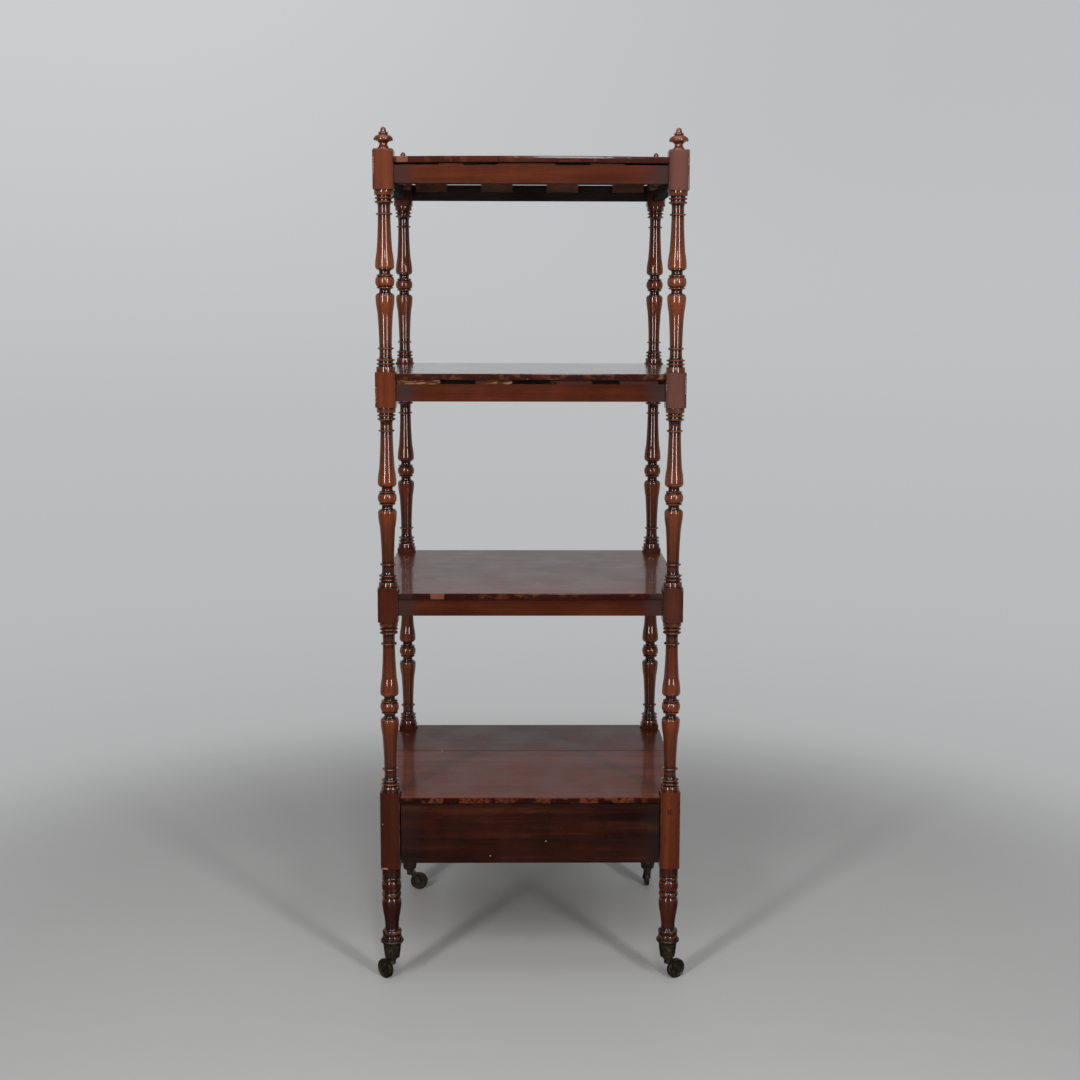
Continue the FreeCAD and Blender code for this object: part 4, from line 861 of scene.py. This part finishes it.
class WHATNOT_OT_turn_posts(bpy.types.Operator):
    """Turn the four posts and give them their old polish"""

    bl_idname = "whatnot.turn_posts"
    bl_label = "Turn Posts"

    def execute(self, context):
        wood = polished_wood("turned_wood_polish", "Z", grain=0.38, gloss=0.3, coat=0.95,
                             shine=0.06, lustre=1.7, waviness=0.05, carved=True, uneven=True,
                             details=self.chip)
        for seed, corner in enumerate(CORNERS, 1):
            give(make_post(corner, context.scene.whatnot_turning, seed), wood)
        return {"FINISHED"}

    def chip(self, wood, base, rough):
        """A fresh chip and a small pale nick on the front left block, a dark mark on the front right one."""
        chip = wood.front_spot(POST_FACE, (-248.6, 201.0), (-239.0, 204.6), 0.5, 2.5)
        nick = wood.front_spot(POST_FACE, (-247.2, 279.0), (-245.6, 281.5), 0.3, 0.8)
        mark = wood.front_spot(POST_FACE, (229.0, 296.0), (237.0, 305.0), 1.6, 4.0)
        base = wood.paint(base, wood_colours().bare, wood.most(chip, nick))
        return wood.paint(base, wood_colours().grime_and_shade, mark, 0.6), wood.plus(rough, wood.times(chip, 0.35))


class WHATNOT_OT_turn_finials(bpy.types.Operator):
    """Turn the four mushroom finials"""

    bl_idname = "whatnot.turn_finials"
    bl_label = "Turn Finials"

    def execute(self, context):
        wood = polished_wood("finial_wood_polish", "Z", contrast=1.2, shift=(3.0, 5.0, 1.0),
                             gloss=0.22, coat=0.95, shine=0.1, lustre=1.75, waviness=0.07, carved=True)
        angles = [math.tau * step / 44 for step in range(44)]
        line = finial_line()
        # The hollows are painted darker and the crests rubbed lighter.
        grime_and_shade, rubbed = [], []
        for height, radius in line:
            near = [r for h, r in line if abs(h - height) < 2.4]
            grime_and_shade += [0.7 * min(1.0, max(0.0, max(near) - radius - 1.5) / 4.0)] * len(angles)
            rubbed += [min(1.0, max(0.0, radius - sum(near) / len(near)) / 1.6)] * len(angles)
        count = len(grime_and_shade) + 2
        head = BLOCKS[-1][1]
        for corner in CORNERS:
            centre = centre_of("finial_" + corner)
            tone, film = BLOCK_LOOKS[corner][-1]
            shape = lathe([(head + height, [radius] * len(angles)) for height, radius in line], angles)
            readings = {"grime_and_shade": grime_and_shade + [0.0, 0.0], "wear": rubbed + [0.0, 0.0],
                        "tone": [tone] * count, "film": [film] * count}
            piece = finish_mesh(shape, "turned_finial_" + corner, (centre.x, centre.y, 0.0), 40.0, readings)
            stand_for(piece, "finial_" + corner)
            give(piece, wood)
        return {"FINISHED"}


class WHATNOT_OT_lay_boards(bpy.types.Operator):
    """Lay the four worn boards between the posts"""

    bl_idname = "whatnot.lay_boards"
    bl_label = "Lay Boards"

    def execute(self, context):
        sizes = context.scene.whatnot_boards
        boards = (
            ("top", "top_board", {"bow": sizes.bow},
             {"depth": 1.3, "coat": 0.64, "haze": 0.1, "details": self.mend_top}),
            ("upper", "upper_board", {},
             {"depth": 1.3, "coat": 0.85, "haze": 0.1, "details": self.tear_upper}),
            ("middle", "middle_board", {"chips": ((-188.0, 13.0, 0.6),)},
             {"depth": 1.65, "coat": 0.39, "haze": 0.05, "details": self.patch_middle}),
            # The lower board's front half is painted lighter than its back half, painted light where the front
            # lamps fall strongest.
            ("lower_front", "lower_board_front", {"back_open": False},
             {"depth": 1.85, "coat": 0.17, "details": self.wear_lower}),
            ("lower_back", "lower_board_back", {"front_open": False},
             {"depth": 1.15, "coat": 0.2, "details": self.nick_lower}),
        )
        for seed, (name, node, shape, looks) in enumerate(boards, 1):
            wood = polished_wood(name + "_board_polish", "X", contrast=0.9, grain=0.32,
                                 shift=(seed * 1.7, 0.4 * seed, 0.0), gloss=0.3, shine=0.05, waviness=0.09,
                                 raw_in_shade="under", **looks)
            give(make_board("worn_board_" + name, node, sizes, seed, **shape), wood)
        return {"FINISHED"}

    def worn_edge(self, wood, base, rough, stretches, rgb, share):
        """Worn stretches of the front edge, each from one place to another in millimetres."""
        for index, (start, end) in enumerate(stretches):
            mask = wood.edge_band(start, end, -236.5, 1.2, 7.0, (3.1 * index, 0.0, 0.0))
            lumps = wood.noise((210.0, 210.0, 300.0), 4.0, 0.65, 0.4, (1.7 * index, 0.0, 0.0))
            mask = wood.times(mask, wood.span(lumps, 0.44, 0.58, 0.1, 1.0))
            base = wood.paint(base, rgb, mask, share)
            rough = wood.plus(rough, wood.times(mask, 0.2))
        return base, rough

    def joint(self, wood, base, place, back):
        """A dark open joint or crack that runs in from the front edge."""
        return wood.paint(base, DARK_JOINT, wood.edge_band(place - 0.4, place + 0.4, back, 0.25))

    def rubbed(self, wood, base, shade):
        """The edges are painted darker than the top, as painted shade, and rubbed a little lighter in places.
        """
        edges = wood.span(wood.upward(), 0.55, 0.85, 1.0, 0.0)
        base = wood.blend(edges, base, (shade, 0.8 * shade, 0.8 * shade), "MULTIPLY")
        rub = wood.times(wood.reading("wear"), wood.span(wood.noise(evenly(70.0)), 0.52, 0.64))
        return wood.paint(base, wood_colours().worn, rub, 0.32)

    def mend_top(self, wood, base, rough):
        """A pale patch let in at the left end, four dark joints and a worn stretch."""
        base = self.rubbed(wood, base, 0.5)
        base, rough = self.worn_edge(wood, base, rough, ((-115.6, 20.0),), (0.10, 0.03, 0.018), 0.35)
        base = wood.paint(base, (0.235, 0.085, 0.045), wood.edge_band(-212.4, -194.2, -205.0, 0.3), 0.85)
        for place in (-193.9, -115.4, -51.9, 96.0):
            base = self.joint(wood, base, place, -225.0)
        return base, rough

    def tear_upper(self, wood, base, rough):
        """A chip at the right end and pale specks along the edge."""
        base = self.rubbed(wood, base, 0.4)
        specks = wood.span(wood.noise(evenly(260.0), 2.0), 0.66, 0.72)
        specks = wood.times(specks, wood.edge_band(-150.0, 215.0, -237.0, 0.6))
        base = wood.paint(base, (0.3, 0.16, 0.09), specks, 0.5)
        return self.worn_edge(wood, base, rough, ((206.0, 212.0),), (0.30, 0.12, 0.06), 0.8)

    def patch_middle(self, wood, base, rough):
        """A pink patch, a crack and stained ends."""
        base = self.rubbed(wood, base, 0.25)
        left = wood.edge_band(-222.0, -193.0, -237.0, 4.0)
        right = wood.edge_band(196.0, 222.0, -221.0, 5.0)
        base = wood.paint(base, (0.035, 0.032, 0.022), wood.most(left, right), 0.5)
        base = wood.paint(base, (0.215, 0.075, 0.05), wood.edge_band(-163.9, -141.6, -236.8, 0.35), 0.8)
        return self.joint(wood, base, -38.8, -228.0), rough

    def wear_lower(self, wood, base, rough):
        """Light red worn stretches along the edge."""
        base = self.rubbed(wood, base, 0.2)
        stretches = ((-167.0, -145.0), (-118.0, -71.0), (-58.0, -26.0),
                     (9.0, 34.0), (83.0, 113.0), (150.0, 172.0))
        return self.worn_edge(wood, base, rough, stretches, (0.20, 0.06, 0.028), 0.55)

    def nick_lower(self, wood, base, rough):
        """A white nick beside the joint."""
        base = self.rubbed(wood, base, 0.4)
        nick = wood.patch((-161.6, 44.0, None), (-160.0, 55.0, None), 0.35)
        return wood.paint(base, (0.5, 0.46, 0.42), nick), rough


class WHATNOT_OT_finish_rails(bpy.types.Operator):
    """Polish the rails and leave the glue blocks and packing plain"""

    bl_idname = "whatnot.finish_rails"
    bl_label = "Finish Rails"

    def execute(self, context):
        looks = {"contrast": 0.8, "gloss": 0.3, "coat": 0.5, "shine": 0.08, "raw_in_shade": "inside"}
        tiers = (("top", 0.88, 0.03), ("upper", 0.86, 0.02), ("middle", 0.85, 0.01))
        for seed, (tier, depth, tone) in enumerate(tiers):
            across = polished_wood(f"{tier}_rail_polish_across", "X", tone=tone, depth=depth,
                                   shift=(2.0 + seed, 1.0, 0.0), details=self.grey_ends, **looks)
            deep = polished_wood(f"{tier}_rail_polish_deep", "Y", tone=tone - 0.02,
                                 depth=depth, shift=(seed, 2.0, 5.0), **looks)
            dress([f"{tier}_rail_{side}" for side in ("front", "back")], across)
            dress([f"{tier}_rail_{side}" for side in ("left", "right")], deep)
        plain = plain_wood("glue_block_wood", "X", (0.26, 0.088, 0.036), (0.10, 0.036, 0.02))
        dress([tier + "_glue_blocks" for tier, depth, tone in tiers], plain)
        packing = polished_wood("packing_wood", "X", depth=0.85, shift=(4.0, 4.0, 1.0),
                                gloss=0.5, coat=0.1, shine=0.2, details=self.torn)
        dress(["top_packing", "upper_packing"], packing)
        return {"FINISHED"}

    def grey_ends(self, wood, base, rough):
        """The polish is dull and greyish near the posts and has one pale scratch."""
        base = wood.paint(base, (0.045, 0.026, 0.025), wood.ends(22.0, 0.75))
        scratch = wood.front_spot(RAIL_FACE, (87.0, 1013.2), (101.5, 1014.2), 0.3, 0.8)
        return wood.paint(base, (0.25, 0.15, 0.1), scratch, 0.7), rough

    def torn(self, wood, base, rough):
        """Torn golden fibres along the left half."""
        left = wood.patch((-230.0, None, 1000.0), (-95.0, None, 1030.0), 4.0)
        more = wood.patch((-72.0, None, 1000.0), (-20.0, None, 1030.0), 3.0)
        fibres = wood.span(wood.noise((70.0, 700.0, 380.0), 3.0, 0.6, 0.4), 0.5, 0.6)
        return wood.paint(base, (0.34, 0.16, 0.06), wood.times(wood.most(left, more), fibres), 0.8), rough


class WHATNOT_OT_finish_drawer(bpy.types.Operator):
    """Finish the drawer and its case"""

    bl_idname = "whatnot.finish_drawer"
    bl_label = "Finish Drawer"

    def execute(self, context):
        lining = wood_colours().lining
        front = polished_wood("drawer_front_polish", "X", tone=-0.02, depth=0.42, contrast=1.3,
                              grain=0.8, shift=(7.0, 0.0, 3.0), coat=0.45, shine=0.25, details=self.specks)
        side = polished_wood("case_side_polish", "Y", tone=-0.02, depth=0.8, contrast=0.85,
                             shift=(1.0, 4.0, 2.0), gloss=0.26, coat=0.5, shine=0.25, raw_in_shade="inside")
        drawer_side = plain_wood("drawer_side_wood", "Y", lining, (0.17, 0.08, 0.04))
        bottom = plain_wood("drawer_bottom_wood", "X", lining, (0.15, 0.075, 0.038), (2.0, 1.0, 0.0))
        runner = plain_wood("runner_wood", "Y", (0.2, 0.11, 0.06), (0.09, 0.05, 0.03))
        dress(["drawer_front", "case_back", "drawer_rail"], front)
        dress(["case_side_left", "case_side_right"], side)
        dress(["drawer_side_left", "drawer_side_right"], drawer_side)
        dress(["drawer_back", "drawer_bottom"], bottom)
        dress(["drawer_runner_left", "drawer_runner_right", "drawer_stops"], runner)
        return {"FINISHED"}

    def specks(self, wood, base, rough):
        """Two small pale specks and dull ends."""
        for x, z in ((26.2, 249.6), (-66.9, 224.3)):
            speck = wood.front_spot(RAIL_FACE, (x - 0.9, z - 0.9), (x + 0.9, z + 0.9), 0.4, 0.8)
            base = wood.paint(base, (0.5, 0.4, 0.33), speck)
        return wood.paint(base, (0.02, 0.014, 0.014), wood.ends(25.0, 0.3)), rough


class WHATNOT_OT_dress_castors(bpy.types.Operator):
    """Patinate the castors and set the screws that hold the cups"""

    bl_idname = "whatnot.dress_castors"
    bl_label = "Dress Castors"

    def execute(self, context):
        cup = patinated_brass("cup_patina", 0.6, 0.4)
        wheel = patinated_brass("wheel_patina", 0.35, 0.45)
        pin = patinated_brass("pin_patina", 0.9, 0.38)
        for part, brass in (("cup", cup), ("horn", cup), ("wheel", wheel), ("axle", pin)):
            dress([f"castor_{part}_{corner}" for corner in CORNERS], brass)
        dress(["castor_king_pins"], pin)
        screws = bmesh.new()
        for corner in CORNERS:
            centre = centre_of("castor_cup_" + corner)
            for side in (-1, 1):
                self.add_screw(screws, centre.x, centre.y, side)
        piece = finish_mesh(screws, "castor_screws", sharp=30.0)
        give(piece, pin)
        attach(piece, "frame")
        return {"FINISHED"}

    def add_screw(self, shape, x, y, side):
        """A slotted round head that sits in the cup's side, facing the front or the back."""
        rings = []
        for away, radius in SCREW_LINE:
            ring = []
            for step in range(20):
                turn = math.tau * step / 20
                u, v = radius * math.cos(turn), radius * math.sin(turn)
                in_slot = away > 0.5 and abs(u * 0.8 + v * 0.6) < SLOT_HALF
                out = SCREW_OUT + away - (SLOT_DEPTH if in_slot else 0.0)
                ring.append(shape.verts.new((x + u * MM, y + side * out * MM, (SCREW_LEVEL + v) * MM)))
            rings.append(ring)
        skin(shape, rings)
        shape.faces.new(rings[-1])
        shape.faces.new(rings[0][::-1])


class WHATNOT_OT_set_stage(bpy.types.Operator):
    """Lay the floor, put up the backdrop and set lamps and camera"""

    bl_idname = "whatnot.set_stage"
    bl_label = "Set Stage"

    def execute(self, context):
        settings = context.scene.whatnot_stage
        turns = [math.pi / 2 * step / 12 for step in range(13)]
        cove = [(ROOM - COVE * (1.0 - math.sin(t)), COVE * (1.0 - math.cos(t))) for t in turns]
        floor = self.sweep("studio_floor", [(radius, 0.0) for radius in (0.0, 0.5, 1.0, 1.6, ROOM - COVE)])
        wall = self.sweep("studio_backdrop", cove + [(ROOM, 3.0), (ROOM, 6.0)])
        wall.visible_shadow = False
        wall.visible_diffuse = False
        cloth = self.weave(settings)
        give(floor, cloth)
        give(wall, cloth)
        self.set_lamps(context, settings)
        self.set_camera(context)
        context.scene.view_settings.view_transform = "Standard"
        return {"FINISHED"}

    def sweep(self, name, line):
        """A round surface with that outline, given as radius and height in metres."""
        shape = bmesh.new()
        turns = [math.tau * i / 96 for i in range(96)]
        rings = []
        for radius, height in line:
            reach = max(radius, 0.001)
            rings.append([shape.verts.new((reach * math.cos(t), reach * math.sin(t), height)) for t in turns])
        skin(shape, rings)
        if line[0][0] == 0.0:
            shape.faces.new(rings[0][::-1])
        return finish_mesh(shape, name)

    def weave(self, settings):
        """The cloth of floor and backdrop: matt near the piece, evenly bright where it is seen far off."""
        cloth = Finish("studio_cloth")
        places = cloth.add("ShaderNodeSeparateXYZ")
        cloth.feed(places.inputs[0], cloth.place)
        across, deep, high = places.outputs
        flat = cloth.vector("MULTIPLY", cloth.place, (1.0, 1.0, 0.0))
        away = cloth.vector("LENGTH", flat, result="Value")
        rays = cloth.add("ShaderNodeLightPath").outputs
        camera, glossy, through = (rays[f"Is {kind} Ray"] for kind in ("Camera", "Glossy", "Transmission"))

        # The floor: a little darker in front, mottled, and nearly black where its front part is mirrored.
        before = tuple(0.93 * channel for channel in settings.floor)
        near = cloth.blend(cloth.span(deep, -0.6, 0.3), before, settings.floor)
        mottle = cloth.span(cloth.noise(evenly(1.3), 4.0, 0.6), 0.3, 0.7, 0.0, 0.05)
        near = cloth.blend(mottle, near, (0.3, 0.3, 0.3))
        dull = cloth.times(glossy, cloth.span(deep, -0.1, 0.5, 1.0, 0.0))
        near = cloth.blend(dull, near, (0.015, 0.015, 0.015))

        # The backdrop: lighter with distance and height, darker to the upper right.
        reach = cloth.span(cloth.plus(away, cloth.times(high, 0.6)), 0.6, 5.4, smooth=False)
        far = cloth.ramp(reach, (*BACKDROP_FADE, (1.0, tuple(settings.wall))))
        corner = cloth.times(cloth.span(high, 0.2, 2.0), cloth.span(across, -1.6, 1.6))
        far = cloth.blend(corner, far, tuple(0.84 * channel for channel in settings.wall))

        # Mirrors show the lit cloth behind the piece, and little of what lies in front or far to the side.
        behind = cloth.times(cloth.span(deep, -0.6, 0.4, 0.06, 1.0),
                             cloth.span(cloth.math("ABSOLUTE", across), 0.9, 1.9, 1.0, 0.08))
        seen = cloth.plus(camera, cloth.times(glossy, behind), clamp=True)
        seen = cloth.plus(seen, through, clamp=True)
        glow = cloth.add("ShaderNodeEmission")
        cloth.feed(glow.inputs["Color"], far)
        matt = cloth.add("ShaderNodeBsdfPrincipled")
        for label, value in (("Base Color", near), ("Roughness", 0.55), ("Specular IOR Level", 0.25)):
            cloth.feed(matt.inputs[label], value)
        both = cloth.add("ShaderNodeMixShader")
        cloth.feed(both.inputs[0], cloth.times(seen, cloth.span(away, 0.75, 1.7)))
        cloth.feed(both.inputs[1], matt.outputs[0])
        cloth.feed(both.inputs[2], glow.outputs[0])
        cloth.feed(cloth.add("ShaderNodeOutputMaterial").inputs["Surface"], both.outputs[0])
        return cloth.material

    def set_lamps(self, context, settings):
        """Soft boxes in front and above, and even light all round."""
        for name, place, wide, tall, share in LAMPS:
            lamp = bpy.data.lights.new(name, "AREA")
            lamp.shape = "RECTANGLE"
            lamp.size, lamp.size_y, lamp.energy = wide, tall, settings.lamp_power * share
            box = bpy.data.objects.new(name, lamp)
            box.location = place
            box.rotation_euler = (LAMP_AIM - Vector(place)).to_track_quat("-Z", "Y").to_euler()
            box.visible_camera = False
            context.scene.collection.objects.link(box)
        world = bpy.data.worlds.new("even_light")
        world.use_nodes = True
        background = world.node_tree.nodes["Background"]
        background.inputs["Color"].default_value = (1.0, 1.0, 1.0, 1.0)
        background.inputs["Strength"].default_value = settings.sky
        context.scene.world = world

    def set_camera(self, context):
        """A camera in front, a little under the top board, that looks slightly down."""
        yaw, pitch, roll = CAMERA_TURNS
        data = bpy.data.cameras.new("camera")
        data.lens, data.sensor_width = CAMERA_LENS
        camera = bpy.data.objects.new("camera", data)
        turned = (Matrix.Rotation(-yaw, 4, "Z") @ Matrix.Rotation(math.pi / 2 - pitch, 4, "X")
                  @ Matrix.Rotation(roll, 4, "Z"))
        camera.matrix_world = Matrix.Translation(CAMERA_PLACE) @ turned
        context.scene.collection.objects.link(camera)
        context.scene.camera = camera


class WHATNOT_PT_panel(bpy.types.Panel):
    """The steps in their order, with the sizes and colours they use"""

    bl_idname = "WHATNOT_PT_panel"
    bl_label = "Whatnot"
    bl_space_type = "VIEW_3D"
    bl_region_type = "UI"
    bl_category = "Whatnot"

    def draw(self, context):
        for step in STEPS:
            self.layout.operator(step.bl_idname)
        for group in GROUPS:
            box = self.layout.box()
            settings = getattr(context.scene, group)
            for name in settings.__annotations__:
                box.prop(settings, name)


STEPS = (
    WHATNOT_OT_turn_posts,
    WHATNOT_OT_turn_finials,
    WHATNOT_OT_lay_boards,
    WHATNOT_OT_finish_rails,
    WHATNOT_OT_finish_drawer,
    WHATNOT_OT_dress_castors,
    WHATNOT_OT_set_stage,
)
GROUPS = {
    "whatnot_turning": WHATNOT_PG_turning,
    "whatnot_boards": WHATNOT_PG_boards,
    "whatnot_finish": WHATNOT_PG_finish,
    "whatnot_stage": WHATNOT_PG_stage,
}


def register():
    for kind in (*GROUPS.values(), *STEPS, WHATNOT_PT_panel):
        bpy.utils.register_class(kind)
    for name, kind in GROUPS.items():
        setattr(bpy.types.Scene, name, PointerProperty(type=kind))


def unregister():
    for name in GROUPS:
        delattr(bpy.types.Scene, name)
    for kind in (WHATNOT_PT_panel, *STEPS[::-1], *list(GROUPS.values())[::-1]):
        bpy.utils.unregister_class(kind)


def main():
    """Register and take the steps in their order."""
    register()
    for step in STEPS:
        group, name = step.bl_idname.split(".")
        getattr(getattr(bpy.ops, group), name)()


if __name__ == "__main__":
    main()
